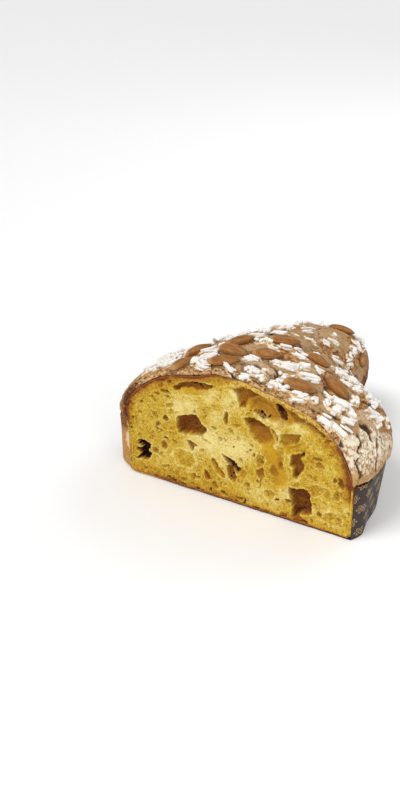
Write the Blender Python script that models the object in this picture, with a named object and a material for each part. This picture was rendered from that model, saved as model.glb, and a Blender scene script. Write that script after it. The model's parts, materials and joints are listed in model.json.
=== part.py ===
"""A colomba, the dove-shaped Easter loaf, in its paper case, with its front end cut away.

The loaf stands on its paper with +Z up. The knife cut is a flat face that looks along -Y, and the
wings of the dove reach out along +X and -X. The origin lies on the underside of the paper, in the
middle of what is left of the loaf.
"""

import math
import random

import bmesh
import bpy
import numpy as np
from mathutils import Matrix, Vector, noise
from mathutils.bvhtree import BVHTree

MM = 0.001

# The plan of the dove. Depth is measured from the knife cut towards the tail, along +Y.
CUT_Y = -100 * MM
WING_DEPTH = 37.5 * MM
WING_SPAN_HALF = 119.5 * MM
WING_DEPTH_HALF = 86 * MM
WING_SQUARENESS = 2.4
LEFT_WING_SWEEP = 5 * MM
LEFT_WING_SLIMMER = 14.5 * MM
BODY_HALF = 53.5 * MM
BODY_LEFT_WIDER = 5 * MM
BODY_LENGTH_HALF = 178.5 * MM
BODY_SQUARENESS = 3.3
TAIL_SHIFT = 8 * MM
TAIL_SHIFT_DEPTH = 150 * MM
NOTCH_SOFTNESS = 0.06
OUTLINE_STEPS = 72
SPINE_SHARE = 0.8

# The knife pressed the crust inwards at both ends of the cut.
PINCH_RIGHT = 0.027
PINCH_LEFT_LOW = 0.13
PINCH_LEFT_HIGH = 0.025
PINCH_LOW_HEIGHT = 35 * MM
PINCH_HIGH_HEIGHT = 80 * MM
PINCH_DEPTH = 14 * MM

# Heights of the risen crust.
SHOULDER_HEIGHT = 55 * MM
CROWN_RISE = 64 * MM
DOME_FLATNESS = 3
DOME_SHOULDER = 0.61
TAIL_FALL = 8.5 * MM
TAIL_FALL_DEPTH = 170 * MM
LEFT_WING_FALL = 13.5 * MM
CROWN_BUMP = 10.5 * MM
CROWN_BUMP_X = -16 * MM
CROWN_BUMP_DEPTH = 71 * MM
CROWN_BUMP_SPREAD = 38 * MM
DOME_ROWS = 11
LUMP_HEIGHT = 1.6 * MM
LUMP_SIZE = 24 * MM

# The paper case, and how the dough swelled out over it behind the cut.
PAPER_THICKNESS = 0.8 * MM
PAPER_HEIGHT = 50 * MM
PAPER_FLARE = 4.5 * MM
PAPER_CUT_SETBACK = 1 * MM
PAPER_LEFT_START = 18 * MM
BARE_DEPTH = 8 * MM
BARE_BULGE = 2.5 * MM
FLOOR_FRONT_DEPTH = 2 * MM
FLOOR_CORNER_X = -84 * MM
CRUST_OVERHANG = 3 * MM
SWELL_DEPTH = 34 * MM
GAP = 0.4 * MM
BASE_ROUNDING = 2.5 * MM

# The glaze and what is on it.
GLAZE_THICKNESS = 2 * MM
GLAZE_EDGE_HEIGHT = 52 * MM
ALMOND_LENGTH = 25 * MM
ALMOND_WIDTH = 13.5 * MM
ALMOND_THICKNESS = 8.5 * MM
ALMOND_SINK = 0.34
ALMOND_CLEARANCE = 0.5 * MM
ALMOND_SIDES = 8
ALMOND_RINGS = 6
STICK_COUNT = 100
STICK_LENGTH = 10 * MM
STICK_WIDTH = 2.8 * MM
STICK_SPACING = 8 * MM
STICK_SIDES = 5
SEED = 7

# Almonds: right of the middle and behind the cut in millimetres, heading in degrees, and length as a
# share of ALMOND_LENGTH.
ALMOND_SPOTS = (
    (-52, 42, 30, 0.93),
    (-50, 11, 66, 0.92),
    (-15, 33, -10, 1.08),
    (-15, 16, 24, 1.02),
    (-17, 50, 38, 0.95),
    (12, 40, 28, 1.00),
    (14, 69, 30, 1.05),
    (45, 67, -18, 0.90),
    (51, 18, 7, 1.08),
    (72, 43, -24, 1.10),
    (24, 174, -14, 1.10),
    (51, 160, 70, 0.88),
    (-84, 88, 20, 1.00),
    (-60, 98, -15, 0.96),
    (-43, 122, 75, 1.02),
    (-42, 154, 85, 0.98),
    (-30, 188, 60, 0.95),
    (-102, 80, 40, 0.95),
)

# Pores of the cut face: right of the middle, height, half width, half height and depth, all in
# millimetres, and the turn in degrees, anticlockwise as the face is looked at.
PORES = (
    (-36, 64, 14.0, 9.0, 12, -22),
    (-83, 27, 7.0, 6.5, 9, -35),
    (-80, 18, 7.0, 2.6, 6, 4),
    (28, 79, 16.0, 6.5, 9, -42),
    (53, 77, 8.6, 5.0, 5, 8),
    (39, 79, 2.6, 5.5, 6, 12),
    (60, 55, 5.0, 10.5, 8, -10),
    (65, 22, 7.0, 12.5, 10, 6),
    (1, 40, 10.0, 2.6, 8, -46),
    (5, 33, 6.5, 8.0, 8, -30),
    (-7, 30, 9.5, 2.4, 5, -58),
    (-34, 103, 16.5, 1.8, 6, -3),
    (18, 104, 20.0, 7.0, 6, -12),
    (44, 98, 18.0, 6.5, 7, -30),
    (-60, 65, 3.0, 2.6, 4, 0),
    (-5, 82, 3.0, 4.0, 4, 15),
    (-35, 47, 4.8, 3.6, 4, -20),
    (-63, 39, 2.6, 4.2, 3, 0),
    (-21, 21, 2.6, 5.0, 4, -25),
    (29, 38, 3.2, 5.6, 3, 10),
    (38, 21, 4.0, 2.8, 3, 0),
    (54, 21, 2.6, 2.4, 3, 0),
)
PORE_SIDES = 12
PORE_RINGS = 8
SMALL_PORE = 7 * MM
PORE_RAGGEDNESS = 0.22


def smooth(t):
    """0 below 0, 1 above 1, and an even S between them."""
    t = np.clip(t, 0.0, 1.0)
    return t * t * (3 - 2 * t)


def wing_gauge(x, depth):
    """0 in the middle of the wings and 1 on their outline."""
    left = smooth(-x / (60 * MM))
    middle = WING_DEPTH + LEFT_WING_SWEEP * left
    behind = smooth((depth - middle) / (30 * MM))
    half = WING_DEPTH_HALF - LEFT_WING_SLIMMER * left * behind
    across = (np.abs(x) / WING_SPAN_HALF) ** WING_SQUARENESS
    along = (np.abs(depth - middle) / half) ** WING_SQUARENESS
    return (across + along) ** (1 / WING_SQUARENESS)


def body_gauge(x, depth):
    """0 in the middle of the dove's body and 1 on its outline."""
    axis = TAIL_SHIFT * smooth(depth / TAIL_SHIFT_DEPTH)
    half = BODY_HALF + BODY_LEFT_WIDER * smooth(-x / (50 * MM))
    across = (np.abs(x - axis) / half) ** BODY_SQUARENESS
    along = (np.abs(depth - WING_DEPTH) / BODY_LENGTH_HALF) ** BODY_SQUARENESS
    return (across + along) ** (1 / BODY_SQUARENESS)


def dove_gauge(x, depth):
    """The wings and the body, run softly into each other: 1 on the widest line of the dove."""
    wings = np.exp(-wing_gauge(x, depth) / NOTCH_SOFTNESS)
    body = np.exp(-body_gauge(x, depth) / NOTCH_SOFTNESS)
    return -NOTCH_SOFTNESS * np.log(wings + body)


def dome_height(x, depth):
    """Height of the crust above the widest line."""
    rise = CROWN_RISE - TAIL_FALL * smooth(depth / TAIL_FALL_DEPTH)
    rise = rise - LEFT_WING_FALL * smooth(-x / (80 * MM)) * smooth(depth / (30 * MM))
    apart = (x - CROWN_BUMP_X) ** 2 + (depth - CROWN_BUMP_DEPTH) ** 2
    rise = rise + CROWN_BUMP * np.exp(-apart / (2 * CROWN_BUMP_SPREAD ** 2))
    gauge = np.clip(dove_gauge(x, depth), 0, 1)
    return SHOULDER_HEIGHT + rise * (1 - gauge ** DOME_FLATNESS) ** DOME_SHOULDER


def pinched(x, depth, height):
    """The place across the loaf, after the knife has pressed the ends of the cut inwards."""
    fade = 1 - smooth(depth / PINCH_DEPTH)
    high = smooth((height - PINCH_LOW_HEIGHT) / (PINCH_HIGH_HEIGHT - PINCH_LOW_HEIGHT))
    left = PINCH_LEFT_LOW + (PINCH_LEFT_HIGH - PINCH_LEFT_LOW) * high
    return x * (1 - np.where(x > 0, PINCH_RIGHT, left) * fade)


def widest_line():
    """Even steps (x, depth) round the dove, from the right end of the cut to its left end."""
    angles = np.linspace(0, math.pi, 1441)
    near = np.zeros_like(angles)
    far = np.full_like(angles, 0.3)
    for _ in range(40):
        middle = (near + far) / 2
        inside = dove_gauge(middle * np.cos(angles), middle * np.sin(angles)) < 1
        near = np.where(inside, middle, near)
        far = np.where(inside, far, middle)
    x, depth = near * np.cos(angles), near * np.sin(angles)
    length = np.concatenate([[0], np.cumsum(np.hypot(np.diff(x), np.diff(depth)))])
    even = np.linspace(0, length[-1], OUTLINE_STEPS + 1)
    line = np.stack([np.interp(even, length, x), np.interp(even, length, depth)], axis=1)
    line[[0, -1], 1] = 0
    return line


def outward(line):
    """Unit normals of a line in plan. The two at the cut lie in the cut."""
    run = np.gradient(line, axis=0)
    normal = np.stack([run[:, 1], -run[:, 0]], axis=1)
    normal /= np.linalg.norm(normal, axis=1)[:, None]
    normal[0] = (1, 0)
    normal[-1] = (-1, 0)
    return normal


def ring(line, inset, height):
    """A ring of points at one height, set in from the widest line."""
    plan = line - outward(line) * np.broadcast_to(inset, len(line))[:, None]
    plan[[0, -1], 1] = 0
    x = pinched(plan[:, 0], plan[:, 1], height)
    return np.stack([x, plan[:, 1], np.broadcast_to(height, len(line))], axis=1)


def swell(line):
    """0 at the cut and 1 where the crust hangs fully over the paper."""
    return smooth(line[:, 1] / SWELL_DEPTH)


def bare(line):
    """1 at the left end of the cut, where the paper is gone, and 0 wherever paper covers the crust."""
    return np.where(line[:, 0] < 0, 1 - smooth((line[:, 1] - BARE_DEPTH) / BARE_DEPTH), 0)


def envelope(line):
    """Rows of points over the glazed crust, from its lower edge up to the spine of the loaf."""
    rows = [
        ring(line, CRUST_OVERHANG / 2 * swell(line), GLAZE_EDGE_HEIGHT),
        ring(line, 0, SHOULDER_HEIGHT),
    ]
    spine_depth = SPINE_SHARE * (line[:, 1] + line[::-1, 1]) / 2
    spine = np.stack([np.zeros(len(line)), spine_depth], axis=1)
    for row in range(1, DOME_ROWS + 1):
        plan = spine + (line - spine) * math.cos(math.pi / 2 * row / DOME_ROWS)
        height = dome_height(plan[:, 0], plan[:, 1])
        rows.append(np.stack([pinched(plan[:, 0], plan[:, 1], height), plan[:, 1], height], axis=1))
    rows[-1][:, 0] = 0
    rows = np.array(rows)
    normals = grid_normals(rows)
    lumps = [[LUMP_HEIGHT * noise.noise(Vector(point / LUMP_SIZE)) for point in row] for row in rows[1:]]
    rows[1:] += normals[1:] * np.array(lumps)[:, :, None]
    rows[:, [0, -1], 1] = 0
    return rows, grid_normals(rows)


def grid_normals(rows):
    """Outward unit normals of rows of points. Those at the cut lie in the cut."""
    along = np.gradient(rows, axis=1)
    up = np.gradient(rows, axis=0)
    normals = np.cross(along, up)
    normals[:, [0, -1], 1] = 0
    normals[-1] += normals[-1, ::-1]
    normals[-1, :, 0] = 0
    tail = rows.shape[1] // 2
    normals[-1, tail] = normals[-1, tail - 1]
    return normals / np.linalg.norm(normals, axis=2)[:, :, None]


def set_in(rows, normals, distance):
    """Rows of points moved inwards by a distance."""
    moved = rows - normals * distance
    moved[:, [0, -1], 1] = 0
    return moved


def strips(rows, columns, first=0):
    """Faces between neighbouring rows of points that are numbered row by row."""
    faces = []
    for row in range(rows - 1):
        for column in range(columns - 1):
            corner = first + row * columns + column
            faces.append((corner, corner + 1, corner + columns + 1, corner + columns))
    return faces


def new_object(name, points, faces, material):
    """A closed mesh object. Points are given as right of the middle, depth and height."""
    mesh = bpy.data.meshes.new(name)
    mesh.from_pydata([(p[0], p[1] + CUT_Y, p[2]) for p in points], [], faces)
    bm = bmesh.new()
    bm.from_mesh(mesh)
    bmesh.ops.remove_doubles(bm, verts=bm.verts, dist=1e-6)
    bmesh.ops.recalc_face_normals(bm, faces=bm.faces)
    bmesh.ops.triangulate(bm, faces=[face for face in bm.faces if len(face.verts) == 4])
    bm.to_mesh(mesh)
    bm.free()
    mesh.materials.append(material)
    body = bpy.data.objects.new(name, mesh)
    bpy.context.scene.collection.objects.link(body)
    return body


def new_material(name, colour, roughness):
    """A plain surface of one colour."""
    material = bpy.data.materials.new(name)
    material.use_nodes = True
    shader = material.node_tree.nodes["Principled BSDF"]
    shader.inputs["Base Color"].default_value = (*colour, 1)
    shader.inputs["Roughness"].default_value = roughness
    shader.inputs["Metallic"].default_value = 0
    material.diffuse_color = (*colour, 1)
    return material


def round_shade(body):
    """Smooth shading that keeps hard edges hard."""
    body.data.shade_smooth()
    body.data.set_sharp_from_angle(angle=math.radians(50))


def combine(body, helpers, operation):
    """One Boolean with a collection of helper objects, which are removed afterwards."""
    group = bpy.data.collections.new("helpers")
    bpy.context.scene.collection.children.link(group)
    for helper in helpers:
        group.objects.link(helper)
    modifier = body.modifiers.new("combine", "BOOLEAN")
    modifier.operation = operation
    modifier.operand_type = "COLLECTION"
    modifier.collection = group
    modifier.solver = "EXACT"
    bpy.context.view_layer.update()
    evaluated = body.evaluated_get(bpy.context.evaluated_depsgraph_get())
    result = bpy.data.meshes.new_from_object(evaluated)
    body.modifiers.remove(modifier)
    body.data = result
    for helper in helpers:
        bpy.data.objects.remove(helper)
    bpy.data.collections.remove(group)


def make_bread(line, rows, normals, material):
    """The crumb and its crust, from the paper's floor up to just under the glaze, with the cut face."""
    overhang = CRUST_OVERHANG * swell(line)
    flare = PAPER_FLARE * swell(line)
    floor = PAPER_THICKNESS + GAP
    wall = PAPER_THICKNESS + GAP
    wall = wall - (wall + BARE_BULGE * smooth(line[:, 1] / BARE_DEPTH)) * bare(line)
    crust = set_in(rows, normals, GLAZE_THICKNESS + GAP)
    rings = [
        ring(line, overhang + flare + wall + BASE_ROUNDING, floor),
        ring(line, overhang + flare + wall, floor + BASE_ROUNDING),
        ring(line, overhang + flare / 2 + wall, PAPER_HEIGHT / 2),
        ring(line, overhang + wall, PAPER_HEIGHT - 2 * MM),
    ]
    points = np.concatenate([np.array(rings), crust])
    count, columns = points.shape[:2]
    faces = strips(count, columns)
    faces.append(tuple(range(columns)))
    right_end = [row * columns for row in range(count)]
    left_end = [row * columns + columns - 1 for row in range(count - 1)]
    faces.append(tuple(right_end + left_end[::-1]))
    body = new_object("bread", points.reshape(-1, 3), faces, material)
    combine(body, [pore_cutter(*pore) for pore in PORES], "DIFFERENCE")
    round_shade(body)
    return body


def pore_cutter(x, height, half_width, half_height, depth, turn):
    """A ragged egg that cuts one pore into the face of the cut."""
    large = half_width * MM > SMALL_PORE
    bm = bmesh.new()
    sides = PORE_SIDES if large else PORE_SIDES - 4
    rings = PORE_RINGS if large else PORE_RINGS - 2
    bmesh.ops.create_uvsphere(bm, u_segments=sides, v_segments=rings, radius=1)
    for vertex in bm.verts:
        ragged = noise.noise(vertex.co * 1.3 + Vector((x, height, 0)))
        vertex.co *= 1 + PORE_RAGGEDNESS * ragged
    size = Matrix.Diagonal((half_width * MM, depth * MM, half_height * MM, 1))
    turned = Matrix.Rotation(math.radians(-turn), 4, "Y")
    place = Matrix.Translation((x * MM, CUT_Y, height * MM))
    bmesh.ops.transform(bm, matrix=place @ turned @ size, verts=bm.verts)
    mesh = bpy.data.meshes.new("pore")
    bm.to_mesh(mesh)
    bm.free()
    cutter = bpy.data.objects.new("pore", mesh)
    cutter.hide_render = True
    cutter.display_type = "WIRE"
    return cutter


def make_glaze(line, rows, normals, material):
    """The glaze as a thin shell over the crust, with the sugar sticks fused to it."""
    inner = set_in(rows, normals, GLAZE_THICKNESS)
    count, columns = rows.shape[:2]
    points = np.concatenate([rows.reshape(-1, 3), inner.reshape(-1, 3)])
    size = count * columns
    faces = strips(count, columns) + strips(count, columns, size)
    for column in range(columns - 1):
        faces.append((column, column + 1, size + column + 1, size + column))
    for row in range(count - 1):
        for column in (0, columns - 1):
            corner = row * columns + column
            faces.append((corner, corner + columns, size + corner + columns, size + corner))
    body = new_object("glaze", points, faces, material)
    surface = surface_of(body)
    combine(body, [make_stick(*spot) for spot in stick_spots(surface)], "UNION")
    round_shade(body)
    return body


def surface_of(body):
    """A tree for finding points on an object's surface."""
    return BVHTree.FromObject(body, bpy.context.evaluated_depsgraph_get())


def top_at(surface, x, depth):
    """The point of a surface that is seen from straight above, and its normal."""
    point, normal, _, _ = surface.ray_cast(Vector((x, depth + CUT_Y, 1)), Vector((0, 0, -1)))
    return point, normal


def frame_on(point, normal, heading):
    """A frame that stands on a surface, with its own X along the heading."""
    along = Vector((math.cos(heading), math.sin(heading), 0))
    side = normal.cross(along).normalized()
    along = side.cross(normal)
    return Matrix.Translation(point) @ Matrix((along, side, normal)).transposed().to_4x4()


def clear_of_almonds(x, depth, room):
    """Whether a place keeps its distance from every almond."""
    for almond_x, almond_depth, heading, size in ALMOND_SPOTS:
        away = Vector((x - almond_x * MM, depth - almond_depth * MM))
        along = Vector((math.cos(math.radians(heading)), math.sin(math.radians(heading))))
        reach = ALMOND_LENGTH * size / 2
        nearest = along * max(-reach, min(reach, away.dot(along)))
        if (away - nearest).length < ALMOND_WIDTH / 2 + room:
            return False
    return True


def stick_spots(surface):
    """Places for the sugar sticks, spread over the top of the glaze by a seeded draw."""
    draw = random.Random(SEED)
    spots = []
    placed = []
    while len(spots) < STICK_COUNT:
        x = draw.uniform(-1, 1) * WING_SPAN_HALF
        depth = draw.uniform(STICK_LENGTH, WING_DEPTH + BODY_LENGTH_HALF)
        heading = draw.uniform(0, math.pi)
        length = STICK_LENGTH * draw.uniform(0.75, 1.2)
        if dove_gauge(x, depth) > 0.93:
            continue
        ends = [share * length / 2 for share in (-1, 0, 1)]
        spine = [(x + end * math.cos(heading), depth + end * math.sin(heading)) for end in ends]
        if not all(clear_of_almonds(*place, STICK_WIDTH / 2 + GAP) for place in spine):
            continue
        if any(math.hypot(x - a, depth - b) < STICK_SPACING for a, b in placed):
            continue
        point, normal = top_at(surface, x, depth)
        placed.append((x, depth))
        spots.append((point, normal, heading, length))
    return spots


def make_stick(point, normal, heading, length):
    """One stick of sugar, lying half sunk in the glaze."""
    bm = bmesh.new()
    bmesh.ops.create_cone(bm, cap_ends=True, segments=STICK_SIDES, radius1=STICK_WIDTH / 2,
                          radius2=STICK_WIDTH / 2, depth=length)
    lying = Matrix.Rotation(math.pi / 2, 4, "Y")
    raised = Matrix.Translation((0, 0, STICK_WIDTH * 0.25))
    bmesh.ops.transform(bm, matrix=frame_on(point, normal, heading) @ raised @ lying, verts=bm.verts)
    mesh = bpy.data.meshes.new("stick")
    bm.to_mesh(mesh)
    bm.free()
    return bpy.data.objects.new("stick", mesh)


def make_almond(number, spot, surface, material):
    """One whole almond in its skin, pointed at one end, with a flat underside just clear of the glaze."""
    x, depth, heading, size = spot
    point, normal = top_at(surface, x * MM, depth * MM)
    place = frame_on(point, normal, math.radians(heading))
    half_length = ALMOND_LENGTH * size / 2
    half_width = ALMOND_WIDTH * size / 2
    half_thickness = ALMOND_THICKNESS / 2
    middle_height = half_thickness * (1 - 2 * ALMOND_SINK)
    bm = bmesh.new()
    bmesh.ops.create_uvsphere(bm, u_segments=ALMOND_SIDES, v_segments=ALMOND_RINGS, radius=1)
    bmesh.ops.rotate(bm, verts=bm.verts, matrix=Matrix.Rotation(math.pi / 2, 3, "Y"))
    for vertex in bm.verts:
        along, side, up = vertex.co
        taper = 1 - 0.30 * max(along, 0) ** 1.5 + 0.05 * min(along, 0)
        vertex.co = (along * half_length, side * half_width * taper,
                     up * half_thickness * taper + middle_height)
    lowest = max(glaze_height(place, vertex.co, surface) for vertex in bm.verts) + ALMOND_CLEARANCE
    for vertex in bm.verts:
        vertex.co.z = max(vertex.co.z, lowest)
    bmesh.ops.delete(bm, geom=bm.edges, context="EDGES_FACES")
    bmesh.ops.remove_doubles(bm, verts=bm.verts, dist=1e-5)
    bmesh.ops.convex_hull(bm, input=bm.verts)
    bmesh.ops.delete(bm, geom=[vertex for vertex in bm.verts if not vertex.link_faces], context="VERTS")
    bmesh.ops.transform(bm, matrix=place, verts=bm.verts)
    mesh = bpy.data.meshes.new("almond")
    bm.to_mesh(mesh)
    bm.free()
    mesh.materials.append(material)
    body = bpy.data.objects.new(f"almond_{number:02d}", mesh)
    bpy.context.scene.collection.objects.link(body)
    round_shade(body)
    return body


def glaze_height(place, local, surface):
    """Height of the glaze in an almond's own frame, straight below one of the almond's points."""
    above = place @ Vector((local.x, local.y, ALMOND_LENGTH))
    down = place.to_3x3() @ Vector((0, 0, -1))
    under, _, _, _ = surface.ray_cast(above, down)
    return (place.inverted() @ under).z


def make_paper_case(line, material):
    """The paper mould: a floor and a flared wall that follows the dove, open at the cut."""
    overhang = CRUST_OVERHANG * swell(line)
    flare = PAPER_FLARE * swell(line)
    outer_foot = ring(line, overhang + flare, 0)
    outer_top = ring(line, overhang, PAPER_HEIGHT)
    inner_top = ring(line, overhang + PAPER_THICKNESS, PAPER_HEIGHT)
    inner_foot = ring(line, overhang + flare + PAPER_THICKNESS, PAPER_THICKNESS)
    profile = np.array([outer_foot, outer_top, inner_top, inner_foot])
    profile[:, 0] += (profile[:, 1] - profile[:, 0]) * PAPER_CUT_SETBACK / line[1, 1]
    behind = [i for i in range(len(line)) if line[i, 0] > 0 or line[i, 1] > PAPER_LEFT_START]
    profile = profile[:, behind]
    columns = len(behind)
    faces = strips(4, columns)
    for end in (0, columns - 1):
        faces.append(tuple(end + columns * row for row in range(4)))
    points = list(profile.reshape(-1, 3))
    front_low = len(points)
    points.append((FLOOR_CORNER_X, FLOOR_FRONT_DEPTH, 0))
    points.append((FLOOR_CORNER_X, FLOOR_FRONT_DEPTH, PAPER_THICKNESS))
    right_low, left_low = 0, columns - 1
    right_high, left_high = 3 * columns, 4 * columns - 1
    faces.append(tuple(range(columns)) + (front_low,))
    faces.append(tuple(range(right_high, right_high + columns)) + (front_low + 1,))
    faces.append((right_low, front_low, front_low + 1, right_high))
    faces.append((left_low, left_high, front_low + 1, front_low))
    body = new_object("paper_case", points, faces, material)
    round_shade(body)
    return body


def main():
    """Builds every piece of the loaf."""
    for old in list(bpy.data.objects):
        bpy.data.objects.remove(old)
    crumb = new_material("crumb", (0.72, 0.50, 0.12), 0.85)
    icing = new_material("baked glaze", (0.45, 0.30, 0.18), 0.75)
    nut = new_material("almond skin", (0.38, 0.15, 0.06), 0.6)
    paper = new_material("brown paper", (0.07, 0.045, 0.038), 0.6)
    line = widest_line()
    rows, normals = envelope(line)
    make_bread(line, rows, normals, crumb)
    glaze = make_glaze(line, rows, normals, icing)
    surface = surface_of(glaze)
    for number, spot in enumerate(ALMOND_SPOTS, start=1):
        make_almond(number, spot, surface, nut)
    make_paper_case(line, paper)


main()
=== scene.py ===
"""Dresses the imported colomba: its crumb, crust, glaze, pearl sugar, almonds and paper case.

Places on the loaf are written as right of the middle, depth behind the knife cut, and height, as in
the part's source. The cut itself looks along -Y.
"""

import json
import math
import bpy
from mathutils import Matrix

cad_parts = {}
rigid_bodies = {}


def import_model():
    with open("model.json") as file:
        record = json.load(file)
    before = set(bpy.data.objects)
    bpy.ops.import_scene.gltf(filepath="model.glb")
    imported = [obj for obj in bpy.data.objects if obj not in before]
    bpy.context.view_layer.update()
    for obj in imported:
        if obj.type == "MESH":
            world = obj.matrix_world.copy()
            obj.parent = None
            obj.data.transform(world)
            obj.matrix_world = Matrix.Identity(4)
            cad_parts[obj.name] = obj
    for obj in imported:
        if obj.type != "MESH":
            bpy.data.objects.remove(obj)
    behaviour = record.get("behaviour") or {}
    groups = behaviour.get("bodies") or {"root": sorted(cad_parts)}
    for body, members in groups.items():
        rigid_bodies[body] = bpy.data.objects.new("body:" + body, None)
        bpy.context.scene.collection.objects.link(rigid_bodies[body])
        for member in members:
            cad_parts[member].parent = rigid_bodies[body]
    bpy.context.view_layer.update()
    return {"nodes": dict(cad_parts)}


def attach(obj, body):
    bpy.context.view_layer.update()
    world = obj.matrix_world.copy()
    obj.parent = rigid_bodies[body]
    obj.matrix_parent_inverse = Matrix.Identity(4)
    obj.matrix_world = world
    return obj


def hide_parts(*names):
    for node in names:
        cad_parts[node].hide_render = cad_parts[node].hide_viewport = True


bl_info = {
    "name": "Colomba loaf",
    "version": (1, 0, 0),
    "blender": (4, 5, 0),
    "location": "3D View > Sidebar > Colomba",
    "description": "Dresses a cut colomba in its paper case with crumb, crust, glaze, sugar and almonds",
    "category": "Object",
}

import bmesh
import bpy
import numpy as np
from bpy.props import FloatProperty, FloatVectorProperty, IntProperty, PointerProperty
from mathutils import Matrix, Vector, noise
from mathutils.bvhtree import BVHTree

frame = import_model()

MM = 0.001

# The plan of the dove, as in the part's source.
CUT_Y = -100 * MM
WING_DEPTH = 37.5 * MM
WING_SPAN_HALF = 119.5 * MM
WING_DEPTH_HALF = 86 * MM
WING_SQUARENESS = 2.4
LEFT_WING_SWEEP = 5 * MM
LEFT_WING_SLIMMER = 14.5 * MM
LEFT_WING_RUN = 60
WING_BACK_RUN = 30
BODY_HALF = 53.5 * MM
BODY_LEFT_WIDER = 5 * MM
BODY_LEFT_RUN = 50
BODY_LENGTH_HALF = 178.5 * MM
BODY_SQUARENESS = 3.3
TAIL_SHIFT = 8 * MM
TAIL_SHIFT_DEPTH = 150 * MM
NOTCH_SOFTNESS = 0.06
SPINE_SHARE = 0.8
PINCH_RIGHT = 0.027
PINCH_LEFT_LOW = 0.13
PINCH_LEFT_HIGH = 0.025
PINCH_LOW_HEIGHT = 35 * MM
PINCH_HIGH_HEIGHT = 80 * MM
PINCH_DEPTH = 14 * MM

# Heights of the risen crust, as in the part's source.
SHOULDER_HEIGHT = 55 * MM
CROWN_RISE = 64 * MM
DOME_FLATNESS = 3
DOME_SHOULDER = 0.61
TAIL_FALL = 8.5 * MM
TAIL_FALL_DEPTH = 170 * MM
LEFT_WING_FALL = 13.5 * MM
LEFT_FALL_RUN = 80
BACK_FALL_RUN = 30
CROWN_BUMP = 10.5 * MM
CROWN_BUMP_X = -16 * MM
CROWN_BUMP_DEPTH = 71 * MM
CROWN_BUMP_SPREAD = 38 * MM
LUMP_HEIGHT = 1.6 * MM
LUMP_SIZE = 24 * MM

# Walls and gaps, as in the part's source.
PAPER_THICKNESS = 0.8 * MM
PAPER_HEIGHT = 50 * MM
PAPER_FLARE = 4.5 * MM
PAPER_CUT_SETBACK = 1 * MM
PAPER_LEFT_START = 18 * MM
BARE_DEPTH = 8 * MM
BARE_BULGE = 2.5 * MM
FLOOR_FRONT_DEPTH = 2 * MM
FLOOR_CORNER_X = -84 * MM
CRUST_OVERHANG = 3 * MM
SWELL_DEPTH = 34 * MM
GAP = 0.4 * MM
BASE_ROUNDING = 2.5 * MM
GLAZE_THICKNESS = 2 * MM
GLAZE_EDGE_HEIGHT = 52 * MM

# Almonds: right of the middle and behind the cut in millimetres, heading in degrees, and size.
ALMOND_SPOTS = (
    (-52, 42, 30, 0.93), (-50, 11, 66, 0.92), (-15, 33, -10, 1.08), (-15, 16, 24, 1.02),
    (-17, 50, 38, 0.95), (12, 40, 28, 1), (14, 69, 30, 1.05), (45, 67, -18, 0.9), (51, 18, 7, 1.08),
    (72, 43, -24, 1.1), (24, 174, -14, 1.1), (51, 160, 70, 0.88), (-84, 88, 20, 1),
    (-60, 98, -15, 0.96), (-43, 122, 75, 1.02), (-42, 154, 85, 0.98), (-30, 188, 60, 0.95),
    (-102, 80, 40, 0.95),
)

# The camera, fitted to the photograph, and the photograph's size in pixels.
CAMERA_AT = (0.31391, -0.70770, 0.48378)
CAMERA_LOOKS_AT = (-0.02737, -0.100, 0.09106)
CAMERA_LENS = 44.44
SENSOR = 36
PHOTO_WIDTH = 400
PHOTO_HEIGHT = 800
PHOTO_FOCUS = CAMERA_LENS / SENSOR * PHOTO_HEIGHT

# Close-ups of the photograph in which the glaze was traced: the left and the top edge of each in
# the photograph's pixels, and its zoom. Traced places are right of and below its corner, in its pixels.
CLOSE_UPS = {"left": (120, 350, 17.42), "crown": (180, 315, 13.07), "tail": (280, 315, 13.07),
             "right": (290, 375, 14.25), "flakes": (300, 360, 10.47)}
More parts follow.
